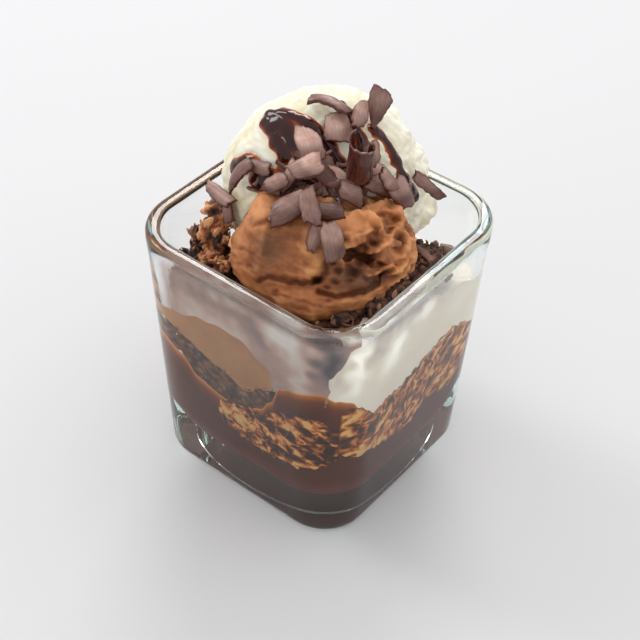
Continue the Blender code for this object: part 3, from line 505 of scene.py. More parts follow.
def hold_inside(bm, clear):
    """Keeps everything below the rim clear of the glass wall."""
    for vert in bm.verts:
        if vert.co.z > 69.0:
            continue
        angle = math.atan2(vert.co.y, vert.co.x)
        most = wall_radius(angle, vert.co.z) - clear
        reach = math.hypot(vert.co.x, vert.co.y)
        if reach > most:
            vert.co.x *= most / reach
            vert.co.y *= most / reach


def marks(bm, *names):
    """Numbers on the points, which the materials read by name."""
    return [bm.verts.layers.float.new(name) for name in names]


def put_in_place(bm, matrix, verts=None):
    bmesh.ops.transform(bm, matrix=matrix, verts=verts or bm.verts)


def thicken(bm, share):
    """Gives a sheet at the wall a second side, at a share of its distance from the axis."""
    for item in bmesh.ops.extrude_face_region(bm, geom=list(bm.faces))["geom"]:
        if isinstance(item, bmesh.types.BMVert):
            item.co = Vector((item.co.x * share, item.co.y * share, item.co.z))
    outward(bm)


def mark(bm, name, value_at):
    """Writes a number on each point that the material can read."""
    number = bm.verts.layers.float.new(name)
    for vert in bm.verts:
        vert[number] = value_at(vert)


def add_ball(bm, centre, radius, detail=3, squash=(1, 1, 1)):
    made = bmesh.ops.create_icosphere(bm, subdivisions=detail, radius=radius)["verts"]
    put_in_place(bm, Matrix.Translation(centre) @ Matrix.Diagonal((*squash, 1)), made)


def add_egg(bm, centre, axes, below):
    """Egg with its own half height below, turned like the scoops."""
    made = bmesh.ops.create_icosphere(bm, subdivisions=5, radius=1.0)["verts"]
    for vert in made:
        height = axes[2] if vert.co.z > 0 else below
        vert.co = Vector((vert.co.x * axes[0], vert.co.y * axes[1], vert.co.z * height))
    put_in_place(bm, Matrix.Translation(centre) @ Matrix.Rotation(SCOOP_TURN, 4, "Z"), made)


def tumble(seed):
    """Turn of a crumb, other for each seed."""
    return Euler((seed * 1.3, seed * 2.1, seed * 0.7)).to_matrix().to_4x4()


def add_rock(bm, centre, radius, seed, squash=(1.0, 0.9, 0.85), uneven=0.3):
    """Angular crumb."""
    made = bmesh.ops.create_icosphere(bm, subdivisions=2, radius=radius)["verts"]
    for vert in made:
        vert.co *= 1 + uneven * cloud(vert.co, radius * 0.9, seed) * 1.4
    put_in_place(bm, Matrix.Translation(centre) @ tumble(seed) @ Matrix.Diagonal((*squash, 1)), made)


# Materials


def add(tree, kind, inputs=None, **settings):
    """Node of one kind, with its settings, and with values or links for its inputs."""
    made = tree.nodes.new("ShaderNode" + kind)
    for key, value in settings.items():
        setattr(made, key, value)
    for key, value in (inputs or {}).items():
        if isinstance(value, bpy.types.NodeSocket):
            tree.links.new(value, made.inputs[key])
        else:
            made.inputs[key].default_value = value
    return made


def ramp(tree, factor, stops):
    made = add(tree, "ValToRGB", {"Fac": factor})
    while len(made.color_ramp.elements) < len(stops):
        made.color_ramp.elements.new(0.5)
    for element, (place, colour) in zip(made.color_ramp.elements, stops):
        element.position = place
        element.color = linear(*colour) if len(colour) == 3 else colour
    return made.outputs["Color"]


def mixed_colour(tree, factor, first, second, blend="MIX"):
    made = add(tree, "Mix", {"Factor": factor, 6: first, 7: second}, data_type="RGBA", blend_type=blend)
    return made.outputs[2]


def mottle_group():
    """Colour that drifts between two tones, and fine uneven height."""
    tree = bpy.data.node_groups.new("mottle", "ShaderNodeTree")
    sockets = (("INPUT", "Dark", "Color"), ("INPUT", "Light", "Color"), ("INPUT", "Scale", "Float"),
               ("INPUT", "Contrast", "Float"), ("OUTPUT", "Colour", "Color"), ("OUTPUT", "Mask", "Float"),
               ("OUTPUT", "Height", "Float"))
    for way, name, kind in sockets:
        tree.interface.new_socket(name, in_out=way, socket_type="NodeSocket" + kind)
    source = tree.nodes.new("NodeGroupInput")
    sink = tree.nodes.new("NodeGroupOutput")
    place = add(tree, "TexCoord").outputs["Object"]
    broad = add(tree, "TexNoise", {"Vector": place, "Scale": source.outputs["Scale"], "Detail": 5.0,
                                   "Roughness": 0.6, "Distortion": 0.4})
    centred = add(tree, "Math", {0: broad.outputs["Fac"], 1: 0.5}, operation="SUBTRACT")
    scaled = add(tree, "Math", {0: centred.outputs[0], 1: source.outputs["Contrast"], 2: 0.5},
                 operation="MULTIPLY_ADD", use_clamp=True)
    mixed = mixed_colour(tree, scaled.outputs[0], source.outputs["Dark"], source.outputs["Light"])
    small = add(tree, "Math", {0: source.outputs["Scale"], 1: 6.0}, operation="MULTIPLY")
    fine = add(tree, "TexNoise", {"Vector": place, "Scale": small.outputs[0], "Detail": 4.0,
                                  "Roughness": 0.65})
    tree.links.new(mixed, sink.inputs["Colour"])
    tree.links.new(scaled.outputs[0], sink.inputs["Mask"])
    tree.links.new(fine.outputs["Fac"], sink.inputs["Height"])
    return tree


MOTTLE = mottle_group()


def mottled(tree, dark, light, scale, contrast):
    made = tree.nodes.new("ShaderNodeGroup")
    made.node_tree = MOTTLE
    made.inputs["Dark"].default_value = linear(*dark)
    made.inputs["Light"].default_value = linear(*light)
    made.inputs["Scale"].default_value = scale
    made.inputs["Contrast"].default_value = contrast
    return made


def paint(name, roughness, specular=0.5, subsurface=0.0, radius=(1.0, 0.5, 0.3)):
    made = bpy.data.materials.new(name)
    made.use_nodes = True
    shader = made.node_tree.nodes["Principled BSDF"]
    shader.inputs["Roughness"].default_value = roughness
    shader.inputs["Specular IOR Level"].default_value = specular
    if subsurface:
        shader.inputs["Subsurface Weight"].default_value = subsurface
        shader.inputs["Subsurface Radius"].default_value = radius
        shader.inputs["Subsurface Scale"].default_value = 0.002
    return made, made.node_tree, shader


def bumped(tree, shader, height, strength, distance):
    made = add(tree, "Bump", {"Height": height, "Strength": strength, "Distance": distance})
    tree.links.new(made.outputs["Normal"], shader.inputs["Normal"])


def attribute(tree, name):
    return add(tree, "Attribute", attribute_name=name).outputs["Fac"]


def glass_paint():
    made, tree, shader = paint("clear_glass", 0.0)
    shader.inputs["Base Color"].default_value = (0.985, 0.995, 0.99, 1)
    shader.inputs["IOR"].default_value = 1.47
    shader.inputs["Transmission Weight"].default_value = 1.0
    seen = add(tree, "LightPath")
    alpha = add(tree, "Math", {0: seen.outputs["Is Shadow Ray"], 1: -0.9, 2: 1.0}, operation="MULTIPLY_ADD")
    tree.links.new(alpha.outputs[0], shader.inputs["Alpha"])
    tint = add(tree, "VolumeAbsorption", {"Color": (0.74, 0.9, 0.88, 1), "Density": 28.0})
    tree.links.new(tint.outputs[0], tree.nodes["Material Output"].inputs["Volume"])
    place = add(tree, "TexCoord").outputs["Object"]
    sway = add(tree, "TexNoise", {"Vector": place, "Scale": 90.0, "Detail": 1.0})
    bumped(tree, shader, sway.outputs["Fac"], 0.12, 0.0005)
    return made


def ganache_paint():
    made, tree, shader = paint("ganache", 0.5, specular=0.1)
    depth = attribute(tree, "depth")
    body = mottled(tree, (88, 41, 28), (104, 53, 36), 60.0, 2.5)
    # Painted highlight: bright orange along the ganache's top edge, turning to its brown further down
    edge = ramp(tree, depth, ((0.0, (244, 168, 92)), (0.07, (200, 112, 52)), (0.24, (130, 64, 36)),
                              (0.7, (94, 47, 33))))
    fade = add(tree, "MapRange", {"Value": depth, "From Min": 0.3, "From Max": 0.9})
    upper = mixed_colour(tree, fade.outputs[0], edge, body.outputs["Colour"])
    # Painted light: a paler pinkish tone low in the ganache and on its underside, by the low mark
    colour = mixed_colour(tree, attribute(tree, "low"), upper, linear(196, 116, 110))
    tree.links.new(colour, shader.inputs["Base Color"])
    return made


def crumb_paint():
    made, tree, shader = paint("cookie_crumb", 0.6, specular=0.15)
    place = add(tree, "TexCoord").outputs["Object"]
    lumps = add(tree, "TexVoronoi", {"Vector": place, "Scale": 680.0}, feature="SMOOTH_F1")
    tint = mottled(tree, (98, 62, 44), (176, 126, 94), 300.0, 3.5)
    shade = ramp(tree, lumps.outputs["Distance"], ((0.15, (255, 255, 255)), (0.5, (164, 152, 144)),
                                                  (0.8, (84, 70, 62))))
    colour = mixed_colour(tree, 0.85, tint.outputs["Colour"], shade, "MULTIPLY")
    tree.links.new(colour, shader.inputs["Base Color"])
    bumped(tree, shader, tint.outputs["Height"], 0.3, 0.0003)
    return made


def crunch_paint():
    made, tree, shader = paint("toffee_crunch", 0.45, specular=0.2)
    gold = attribute(tree, "gold")
    tint = mottled(tree, (104, 100, 96), (156, 152, 148), 420.0, 3.0)
    shown = ramp(tree, gold, ((0.0, (84, 44, 32)), (0.22, (116, 60, 32)), (0.45, (184, 102, 42)),
                              (0.62, (220, 140, 62)), (0.82, (248, 188, 108)), (1.0, (255, 220, 156))))
    colour = mixed_colour(tree, 0.7, shown, tint.outputs["Colour"], "OVERLAY")
    tree.links.new(colour, shader.inputs["Base Color"])
    bumped(tree, shader, tint.outputs["Height"], 0.3, 0.0003)
    return made


def mousse_paint():
    made, tree, shader = paint("mousse", 0.58, specular=0.3, subsurface=0.1)
    tone = mottled(tree, (126, 68, 36), (178, 104, 58), 170.0, 3.5)
    rise = attribute(tree, "rise")
    # Painted shade and painted highlight: dark in creases and holes, light caramel on raised ridges, by the
    # rise mark
    painted_shade_ramp = ramp(tree, rise, ((0.0, (24, 9, 5)), (0.25, (82, 40, 20)), (0.52, (152, 90, 50)),
                            (1.0, (240, 174, 112))))
    body = mixed_colour(tree, 0.72, tone.outputs["Colour"], painted_shade_ramp)
    tint = attribute(tree, "tint")
    # Painted light and shade: paler caramel on lit parts, duller greyish brown on shaded parts, by the tint
    # mark
    pale = add(tree, "MapRange", {"Value": tint, "From Min": 0.5, "From Max": 1.0, "To Max": 0.8})
    dull = add(tree, "MapRange", {"Value": tint, "From Min": 0.5, "From Max": 0.0, "To Max": 0.8})
    with_painted_light = mixed_colour(tree, pale.outputs[0], body, linear(232, 160, 106))
    colour = mixed_colour(tree, dull.outputs[0], with_painted_light, linear(98, 64, 44))
    tree.links.new(colour, shader.inputs["Base Color"])
    bumped(tree, shader, tone.outputs["Height"], 0.3, 0.0004)
    return made


def mousse_band_paint():
    made, tree, shader = paint("mousse_band", 0.6, specular=0.1)
    tone = mottled(tree, (190, 132, 88), (210, 154, 110), 90.0, 2.5)
    # Painted reflection: a greyish pink haze over the band, standing in for the glass's reflection
    reflection_haze = mottled(tree, (172, 154, 148), (212, 194, 186), 120.0, 3.0)
    painted_reflection = attribute(tree, "painted_reflection")
    colour = mixed_colour(tree, painted_reflection, tone.outputs["Colour"], reflection_haze.outputs["Colour"])
    tree.links.new(colour, shader.inputs["Base Color"])
    bumped(tree, shader, tone.outputs["Height"], 0.2, 0.0003)
    return made


def smear_paint():
    made, tree, shader = paint("mousse_smear", 0.7, specular=0.0)
    tone = attribute(tree, "tone")
    tint = mottled(tree, (120, 120, 120), (138, 136, 134), 200.0, 2.5)
    # Painted reflection and shade: darker and paler mauve tones of the film, by its tone mark
    shown = ramp(tree, tone, ((0.0, (132, 120, 124)), (0.3, (188, 170, 168)), (0.55, (228, 204, 196)),
                              (1.0, (255, 244, 238))))
    colour = mixed_colour(tree, 0.6, shown, tint.outputs["Colour"], "OVERLAY")
    tree.links.new(colour, shader.inputs["Base Color"])
    cover = add(tree, "Math", {0: attribute(tree, "film"), 1: 0.97}, operation="MULTIPLY", use_clamp=True)
    tree.links.new(cover.outputs[0], shader.inputs["Alpha"])
    return made


def cream_paint():
    made, tree, shader = paint("vanilla_cream", 0.5, specular=0.3, subsurface=0.4, radius=(1.0, 0.9, 0.7))
    tone = mottled(tree, (240, 232, 206), (249, 244, 229), 110.0, 3.0)
    # Painted shade: a darker yellow cream in the hollows between the whipped rolls, with a few random yellow
    # patches
    hollow = attribute(tree, "hollow")
    shown = mixed_colour(tree, hollow, tone.outputs["Colour"], linear(234, 222, 178))
    tree.links.new(shown, shader.inputs["Base Color"])
    bumped(tree, shader, tone.outputs["Height"], 0.25, 0.0003)
    return made


def cream_fill_paint():
    made, tree, shader = paint("cream_fill", 0.5, specular=0.1)
    tone = mottled(tree, (250, 233, 212), (255, 247, 232), 70.0, 2.5)
    shaded = mixed_colour(tree, attribute(tree, "shade"), tone.outputs["Colour"], linear(172, 152, 158))
    light = attribute(tree, "light")
    colour = mixed_colour(tree, light, shaded, linear(255, 252, 240))
    tree.links.new(colour, shader.inputs["Base Color"])
    # Painted light: the cream glows a little everywhere and more where its light mark is high
    painted_glow = mixed_colour(tree, light, (0.1, 0.088, 0.08, 1), (0.48, 0.45, 0.41, 1))
    tree.links.new(painted_glow, shader.inputs["Emission Color"])
    shader.inputs["Emission Strength"].default_value = 1.0
    return made


def brownie_paint():
    made, tree, shader = paint("brownie", 0.55, specular=0.4)
    rise = attribute(tree, "rise")
    lit_share = attribute(tree, "lit_share")
    # Painted light and shade: a shaded dark copy and a lit caramel copy of the brownie, each darker in
    # hollows by the rise mark, mixed by the lit share
    dark = ramp(tree, rise, ((0.0, (14, 7, 6)), (0.5, (40, 22, 18)), (1.0, (92, 54, 38))))
    light = ramp(tree, rise, ((0.0, (66, 26, 13)), (0.5, (172, 98, 58)), (1.0, (244, 184, 130))))
    colour = mixed_colour(tree, lit_share, dark, light)
    tree.links.new(colour, shader.inputs["Base Color"])
    tone = mottled(tree, (0, 0, 0), (255, 255, 255), 420.0, 3.0)
    bumped(tree, shader, tone.outputs["Height"], 0.5, 0.0004)
    return made


def sauce_paint():
    made, tree, shader = paint("sauce", 0.1, specular=0.4)
    thick = attribute(tree, "thick")
    colour = ramp(tree, thick, ((0.0, (206, 116, 40)), (0.22, (150, 64, 24)), (0.5, (76, 26, 16)),
                                (1.0, (50, 17, 13))))
    tree.links.new(colour, shader.inputs["Base Color"])
    return made


def curl_paint():
    made, tree, shader = paint("chocolate_curl", 0.4, specular=0.45)
    along = add(tree, "UVMap", uv_map="lay").outputs["UV"]
    stretched = add(tree, "Mapping", {"Vector": along, "Scale": (0.3, 1.7, 1.0)})
    lines = add(tree, "TexNoise", {"Vector": stretched.outputs[0], "Scale": 1.2, "Detail": 4.0,
                                   "Roughness": 0.55})
    tone = mottled(tree, (172, 126, 110), (244, 206, 190), 190.0, 3.0)
    streak = ramp(tree, lines.outputs["Fac"], ((0.3, (140, 96, 80)), (0.7, (236, 194, 178))))
    outer = mixed_colour(tree, 0.3, tone.outputs["Colour"], streak)
    # Painted light and shade: the bloom mark pales the outer side as bloom and painted reflection, and falls
    # off low on each curl as painted shade
    bloom_and_light = attribute(tree, "bloom_and_light")
    core = attribute(tree, "core")
    # Dark inner side, which also serves as the painted shade where the bloom mark is low
    inner = ramp(tree, lines.outputs["Fac"], ((0.3, (50, 19, 13)), (0.7, (98, 48, 37))))
    rim = ramp(tree, core, ((0.0, (84, 34, 24)), (1.0, (146, 98, 84))))
    body = mixed_colour(tree, bloom_and_light, inner, outer)
    edge = add(tree, "MapRange", {"Value": core, "From Min": 0.7, "From Max": 0.0, "To Max": 0.6})
    colour = mixed_colour(tree, edge.outputs[0], body, rim)
    tree.links.new(colour, shader.inputs["Base Color"])
    shine = add(tree, "MapRange", {"Value": bloom_and_light, "To Min": 0.24, "To Max": 0.52})
    tree.links.new(shine.outputs[0], shader.inputs["Roughness"])
    bumped(tree, shader, lines.outputs["Fac"], 0.25, 0.0003)
    return made


# Cup


def place_ring(ring, radius_at, z):
    for vert in ring:
        angle = math.atan2(vert.co.y, vert.co.x)
        vert.co = at_angle(angle, radius_at(angle), z)


def next_ring(bm, edges):
    made = bmesh.ops.extrude_edge_only(bm, edges=edges)["geom"]
    ring = [item for item in made if isinstance(item, bmesh.types.BMVert)]
    chosen = set(ring)
    edges = [item for item in made if isinstance(item, bmesh.types.BMEdge)
             and item.verts[0] in chosen and item.verts[1] in chosen]
    return ring, edges


def rim_rings():
    """Rounded lip, as (z, half width, corner radius)."""
    rings = []
    for step in range(1, RIM_STEPS):
        turn = math.pi * step / RIM_STEPS
        across = math.cos(turn)
        half = RIM_MIDDLE + RIM_HALF_WIDTH * math.copysign(abs(across) ** RIM_SQUARENESS, across)
        z = RIM_BASE + (RIM_TOP - RIM_BASE) * math.sin(turn) ** RIM_SQUARENESS
        share = (half - (RIM_MIDDLE - RIM_HALF_WIDTH)) / (2 * RIM_HALF_WIDTH)
        rings.append((z, half, RIM_CORNER + RIM_CORNER_GAIN * share))
    return rings


def cup():
    bm = bmesh.new()
    ring = bmesh.ops.create_circle(bm, segments=AROUND, radius=1.0)["verts"]
    edges = list(bm.edges)
    first = list(edges)
    place_ring(ring, lambda angle: PUNT[0][1], PUNT[0][0])
    for z, radius in PUNT[1:]:
        ring, edges = next_ring(bm, edges)
        place_ring(ring, lambda angle: radius, z)
    wall = [(z, *straight(INSIDE, z)) for z in WALL_RINGS]
    for z, half, corner in [*OUTSIDE, *rim_rings(), LIP_INSIDE, INSIDE[2], *wall, *floor_rings()]:
        ring, edges = next_ring(bm, edges)
        place_ring(ring, lambda angle: square_radius(angle, half, corner), z)
    for loop in (first, edges):
        bmesh.ops.contextual_create(bm, geom=loop)
    outward(bm)
    piece("glass_cup", bm, GLASS, "clear_glass", "glass")


def floor_rings():
    """Rounded bottom of the hollow."""
    rings = []
    for step in range(BOWL_STEPS + 1):
        turn = math.radians(90 / BOWL_STEPS * step)
        z = BOWL_TOP - (BOWL_TOP - FLOOR) * math.sin(turn) ** BOWL_ROUNDING
        rings.append((z, *bowl(z)))
    return rings + [(FLOOR, *row) for row in FLOOR_RINGS]


# Layers


def wall_share(x, y):
    return min(1.0, (max(abs(x), abs(y)) / WALL_REACH) ** 2)


def height_of(table, key, ragged, size, seed, swell=0.5):
    """Height of a layer's surface over the plan, with a ragged edge at the glass."""
    def height(x, y):
        share = wall_share(x, y)
        flat = MIDDLE[key] + (between(table, math.degrees(math.atan2(y, x))) - MIDDLE[key]) * share
        return flat + swell * cloud((x, y, 0), 5.0) + ragged * rough((x, y, seed), size, 3, seed)
    return height


def low_painted_light(z):
    """Share of the paler tone painted low in the ganache and at its underside, standing in for light there.
    """
    return 0.24 * ease((BOWL_TOP - z) / 5.0) * ease((z - 9.0) / 1.5) + 0.22 * ease((9.4 - z) / 1.2)


def layer(top, bottom, reach, side=0):
    """Layer of food that fills the hollow between two heights."""
    bm = bmesh.new()
    shares = [i / LAYER_RINGS for i in range(LAYER_RINGS + 1)]
    depths = [ease(i / LAYER_ROWS) for i in range(1, LAYER_ROWS)]
    rows = [(share, 1.0) for share in shares] + [(1.0, 1 - depth) for depth in depths]
    rows += [(share, 0.0) for share in reversed(shares)]
    verts = [bm.verts.new((share, 0, height)) for share, height in rows]
    edges = [bm.edges.new(pair) for pair in zip(verts, verts[1:])]
    bmesh.ops.spin(bm, geom=verts + edges, cent=(0, 0, 0), axis=(0, 0, 1), angle=math.tau,
                   steps=LAYER_TURNS, use_merge=True)
    bmesh.ops.remove_doubles(bm, verts=bm.verts, dist=0.0001)
    depth_mark, painted_light_low_mark = marks(bm, "depth", "low")
    away = Vector((math.cos(JOIN_TURN), math.sin(JOIN_TURN), 0))
    for vert in bm.verts:
        share = min(1.0, math.hypot(vert.co.x, vert.co.y))
        level = vert.co.z
        angle = math.atan2(vert.co.y, vert.co.x)
        reached = FIRST_REACH
        for _ in range(2):
            x, y = share * reached * math.cos(angle), share * reached * math.sin(angle)
            low, high = bottom(x, y), top(x, y)
            z = low + (max(high, low + 0.05) - low) * level
            reached = wall_radius(angle, z) + reach
        place = at_angle(angle, share * reached, z)
        if side:
            wave = 1.2 * cloud((0, place.z, 3.0), 4.0) + 0.5 * cloud((place.x, place.z, 3.0), 1.6)
            beyond = side * (place.dot(away) - JOIN_DISTANCE - wave)
            if beyond < 0:
                place -= away * side * beyond
        vert.co = place
        vert[depth_mark] = (high - z) / 10.0
        vert[painted_light_low_mark] = low_painted_light(z)
    bmesh.ops.dissolve_degenerate(bm, dist=0.004, edges=bm.edges)
    outward(bm)
    return bm


def tone_of(table, place):
    """Tone at a place of the wall, with an uneven outline."""
    angle = math.degrees(math.atan2(place.y, place.x)) + 4.0 * cloud(place, 3.0, 6.0)
    return spread(table, angle, place.z + 1.6 * cloud(place, 3.0, 8.0))


def below(height):
    """Underside of a layer that reaches a little into the one below."""
    return lambda x, y: height(x, y) - OVERLAP


def layers():
    ganache_top = height_of(GANACHE_TOP, "ganache", 0.18, 3.0, 1.0)
    crumb_top = height_of(CRUMB_TOP, "crumb", 0.5, 2.2, 2.0)
    mousse_top = height_of(MOUSSE_TOP, "mousse", 0.25, 4.0, 3.0)
    cream_top = height_of(CREAM_TOP, "cream", 0.45, 5.0, 4.0)
    bm = layer(ganache_top, lambda x, y: UNDERSIDE, INTO_WALL["ganache"])
    piece("ganache_fill", bm, GANACHE, "ganache", "ganache")
    bm = layer(crumb_top, below(ganache_top), INTO_WALL["crumb"], side=-1)
    push(bm, lambda place: min(0.1, 0.35 * rough(place, 1.3, 2, 5.0)) - 0.05)
    piece("crumb_band", bm, CRUMB, "cookie_crumb", "cookie_crumb_band")
    bm = layer(mousse_top, below(crumb_top), INTO_WALL["mousse"], side=-1)
    # Share of the painted reflection haze, growing towards +x
    mark(bm, "painted_reflection", lambda vert: ease((vert.co.x - 8.0 + 2.0 * cloud(vert.co, 5.0)) / 5.0))
    piece("mousse_band", bm, BAND, "mousse", "mousse_layer")
    bm = layer(cream_top, below(ganache_top), INTO_WALL["cream"], side=1)
    mark(bm, "shade", lambda vert: tone_of(CREAM_SHADE, vert.co))
    mark(bm, "light", lambda vert: tone_of(CREAM_LIGHT, vert.co))
    piece("cream_fill", bm, CREAM_FILL, "vanilla_cream", "cream_layer")


def smear():
    """Thin film of mousse wiped up the inside of the front left wall, its tone painted with the reflection
    and shade seen through the glass.
    """
    first, last = math.radians(FILM_FROM), math.radians(FILM_TO)
    bm = bmesh.new()
    bmesh.ops.create_grid(bm, x_segments=FILM_GRID[0], y_segments=FILM_GRID[1], size=0.5)
    film, tone = marks(bm, "film", "tone")
    for vert in bm.verts:
        s, t = vert.co.x + 0.5, vert.co.y + 0.5
        angle = first + (last - first) * s
        z = FILM_BASE + (FILM_TOP - FILM_BASE) * t
        vert.co = at_angle(angle, wall_radius(angle, z) + FILM_REACH, z)
        wiped = 1.14 + 0.22 * rough((angle * 22, 0.35 * z, 2.0), 5.0, 3, 3.0) - tone_of(FILM_THIN, vert.co)
        low = straight(FILM_LOW, math.degrees(angle))[0] + 0.7 * cloud((angle * 22, 0, 4.0), 3.0)
        vert[film] = wiped * ease(7 * s) * ease((z - low) / 1.6 + 0.2) * ease(5.5 * (1 - t))
        streak = 0.07 * rough((angle * 14, 0.6 * z, 5.0), 3.0, 3, 7.0)
        vert[tone] = 0.5 + tone_of(FILM_PAINTED_LIGHT, vert.co) + streak
    thicken(bm, FILM_BACK)
    piece("mousse_smear", bm, SMEAR, "mousse", "mousse_layer")


def side_point(place, along_x):
    """Where the inner wall stands beside a place on one of the front sides."""
    half, corner = straight(INSIDE, 30.0)
    a = half - corner
    beyond = max(0.0, abs(place) - a)
    out = a + math.sqrt(max(0.0, corner * corner - beyond * beyond)) if beyond else half
    return (place, -out) if along_x else (out, place)


def crunch(name, table, along_x, tilt, node, seed, grain, spots, least):
    """Broken golden crunch pressed against the glass, with dark sauce set back between its grains."""
    rows = []
    for place, low, high in table:
        x, y = side_point(place, along_x)
        rows.append((math.atan2(y, x), low, high))
    first, last = rows[0][0], rows[-1][0]
    bm = bmesh.new()
    bmesh.ops.create_grid(bm, x_segments=CRUNCH_GRID[0], y_segments=CRUNCH_GRID[1], size=0.5)
    gold_mark = bm.verts.layers.float.new("gold")
    length, breadth = grain
    for vert in bm.verts:
        s, t = vert.co.x + 0.5, vert.co.y + 0.5
        angle = first + (last - first) * s
        low, high = straight(rows, angle)
        edge = ease(min(s, 1 - s) * 9)
        low -= 0.3 + CRUNCH_EDGE * edge * rough((angle * 26, 0, seed), 2.0, 3, seed)
        high += 0.3 + CRUNCH_EDGE * edge * rough((angle * 26, 9, seed), 2.0, 3, seed + 3)
        z = low + (high - low) * t
        run = angle * CRUNCH_RADIUS
        p = (run * math.cos(tilt) + z * math.sin(tilt)) / length
        q = (-run * math.sin(tilt) + z * math.cos(tilt)) / breadth
        sway, lift = (0.5 * cloud((p, q, height), 0.9, seed) for height in (1.0, 5.0))
        spot = Vector((p + sway, q + lift, seed))
        lumps = rough(spot, 0.8, 3, seed)
        veins = 0.5 - 1.6 * abs(cloud(spot, 0.62, seed + 2))
        fine = cloud(spot, 0.22, seed + 4)
        value = least + 0.85 * lumps + 0.3 * veins + 0.3 * fine + spread(spots, math.degrees(angle), z)
        border = min(t, 1 - t, 2.5 * min(s, 1 - s)) * (high - low)
        value = held(value) * ease(border / 0.8 + 0.05)
        radius = wall_radius(angle, z) + CRUNCH_REACH + (0.3 + 0.25 * value) * ease(border / 0.5)
        vert.co = at_angle(angle, radius, z)
        vert[gold_mark] = value
    thicken(bm, CRUNCH_BACK)
    piece(name, bm, CRUNCH, "toffee_crunch", node)


# Scoops


def in_vanilla(point):
    """Above 1 outside the egg of the vanilla scoop."""
    local = Matrix.Rotation(-SCOOP_TURN, 3, "Z") @ (Vector(point) - VANILLA_CENTRE)
    above = VANILLA_AXES[2] if local.z > 0 else VANILLA_BELOW
    across, deep, _ = VANILLA_AXES
    return math.sqrt((local.x / across) ** 2 + (local.y / deep) ** 2 + (local.z / above) ** 2)


def vanilla_mesh():
    bm = bmesh.new()
    add_egg(bm, VANILLA_CENTRE, VANILLA_AXES, VANILLA_BELOW)
    for x, y, z, radius in VANILLA_LUMPS:
        add_ball(bm, (x, y, z), radius, 3, (1, 1, 0.9))
    bm = skin(bm, VANILLA_VOXEL)
    relax(bm, 4)
    back = Matrix.Rotation(-SCOOP_TURN, 3, "Z")

    def whipped(place):
        curd = 0.45 + 0.55 * ease(((back @ (place - VANILLA_CENTRE)).x - 4.0) / 14.0)
        rolls = abs(cloud((place.x, place.y, place.z * 1.3), 4.6, 2.0)) + 0.55 * abs(cloud(place, 2.1, 4.0))
        grain = 0.3 * abs(cloud(place, 1.0, 6.0))
        return curd * (1.9 * rolls + grain) - 0.55

    push(bm, lambda place: 0.6 * cloud(place, 8.0))
    hollow = bm.verts.layers.float.new("hollow")
    bm.normal_update()
    heights = [whipped(vert.co) for vert in bm.verts]
    for vert, height in zip(bm.verts, heights):
        vert.co += vert.normal * height
        patch = ease((cloud(vert.co, 6.0, 9.0) - 0.25) / 0.2)
        # Painted shade in the hollows, plus random yellowish patches
        vert[hollow] = 0.55 * ease((-0.1 - height) / 0.4) + 0.3 * patch
    relax(bm, 1)
    return bm


def drizzle_lines():
    lines = []
    for radius, angles in DRIZZLES:
        points = []
        for turn, rise in angles:
            out = direction(math.radians(turn), math.radians(rise))
            points.append(VANILLA_CENTRE + out / in_vanilla(VANILLA_CENTRE + out))
        lines.append((radius, points))
    return lines


def line_distance(point, points):
    best = 1e9
    for a, b in zip(points, points[1:]):
        ab = b - a
        t = held((point - a).dot(ab) / ab.length_squared)
        best = min(best, (point - a - ab * t).length)
    return best


def sauce(scoop):
    """Film of sauce that follows the scoop's surface."""
    bm = bmesh.new()
    bm.from_mesh(scoop.data)
    bmesh.ops.scale(bm, vec=(1 / MM,) * 3, verts=bm.verts)
    relax(bm, 6)
    thick_mark = bm.verts.layers.float.new("thick")
    lines = drizzle_lines()

    def cover(place):
        near = -1.0
        for radius, points in lines:
            width = radius * (1.0 + 0.35 * cloud(place, 2.5, 4.0))
            near = max(near, 1 - line_distance(place, points) / (width * 1.25))
        return near

    shares = {vert: cover(vert.co) for vert in bm.verts}
    loose = [vert for vert in bm.verts if shares[vert] < -0.9]
    bmesh.ops.delete(bm, geom=loose, context="VERTS")
    bmesh.ops.subdivide_edges(bm, edges=bm.edges, cuts=1, use_grid_fill=True)
    shares = {vert: cover(vert.co) for vert in bm.verts}
    bmesh.ops.delete(bm, geom=[vert for vert in bm.verts if shares[vert] < -0.35], context="VERTS")
    bm.normal_update()
    moves = {}
    for vert in bm.verts:
        share = shares[vert]
        lift = 0.95 * math.sqrt(held(share * 1.35)) - 0.12 if share > 0 else -0.12 + share * 0.8
        vert[thick_mark] = max(0.0, share * 1.4)
        moves[vert] = vert.normal * lift
    for vert, move in moves.items():
        vert.co += move
    relax(bm, 9)
    piece("sauce", bm, SAUCE, "ganache", "vanilla_scoop")


def mousse_form(local):
    """Place of a point of the egg shape once the scoop is drawn in below and its marks are pressed in."""
    tall = MOUSSE_AXES[2]
    low = ease(-local.z / tall)
    draw = 1 - UNDERCUT * low
    local = Vector((local.x * draw, local.y * draw, local.z))
    if local.x > 0:
        local.x *= 1 - UNDERCUT_RIGHT * low + SHOULDER_RIGHT * max(0.0, local.z / tall)
    facing = ease(local.dot(PRESSED_FROM) / MARK_FADE)
    rise = local.dot(PRESSED_UP)
    moved = local + PRESSED_FROM * facing * spread(MOUSSE_MARKS, local.x, rise)
    for x, y, width, height, across_by, up_by in MOUSSE_DRAWS:
        share = ease(0.25 + facing) * math.exp(-((local.x - x) / width) ** 2 - ((rise - y) / height) ** 2)
        moved += share * (Vector((across_by, 0, 0)) + PRESSED_UP * up_by)
    return moved


def fold_move(x, y):
    """Outward move of the fine folds and tears of the mousse scoop."""
    here = Vector((x + 0.4 * cloud((x, y, 0), 1.6, 2.0), y + 0.4 * cloud((x, y, 5), 1.6, 2.0), 0))
    total = 1.5 * spread(MOUSSE_TEARS, here.x, here.y)
    for width, depth, points in MOUSSE_FOLDS:
        line = [Vector((*point, 0)) for point in points]
        total += depth * math.exp(-(line_distance(here, line) / width) ** 2)
    return total


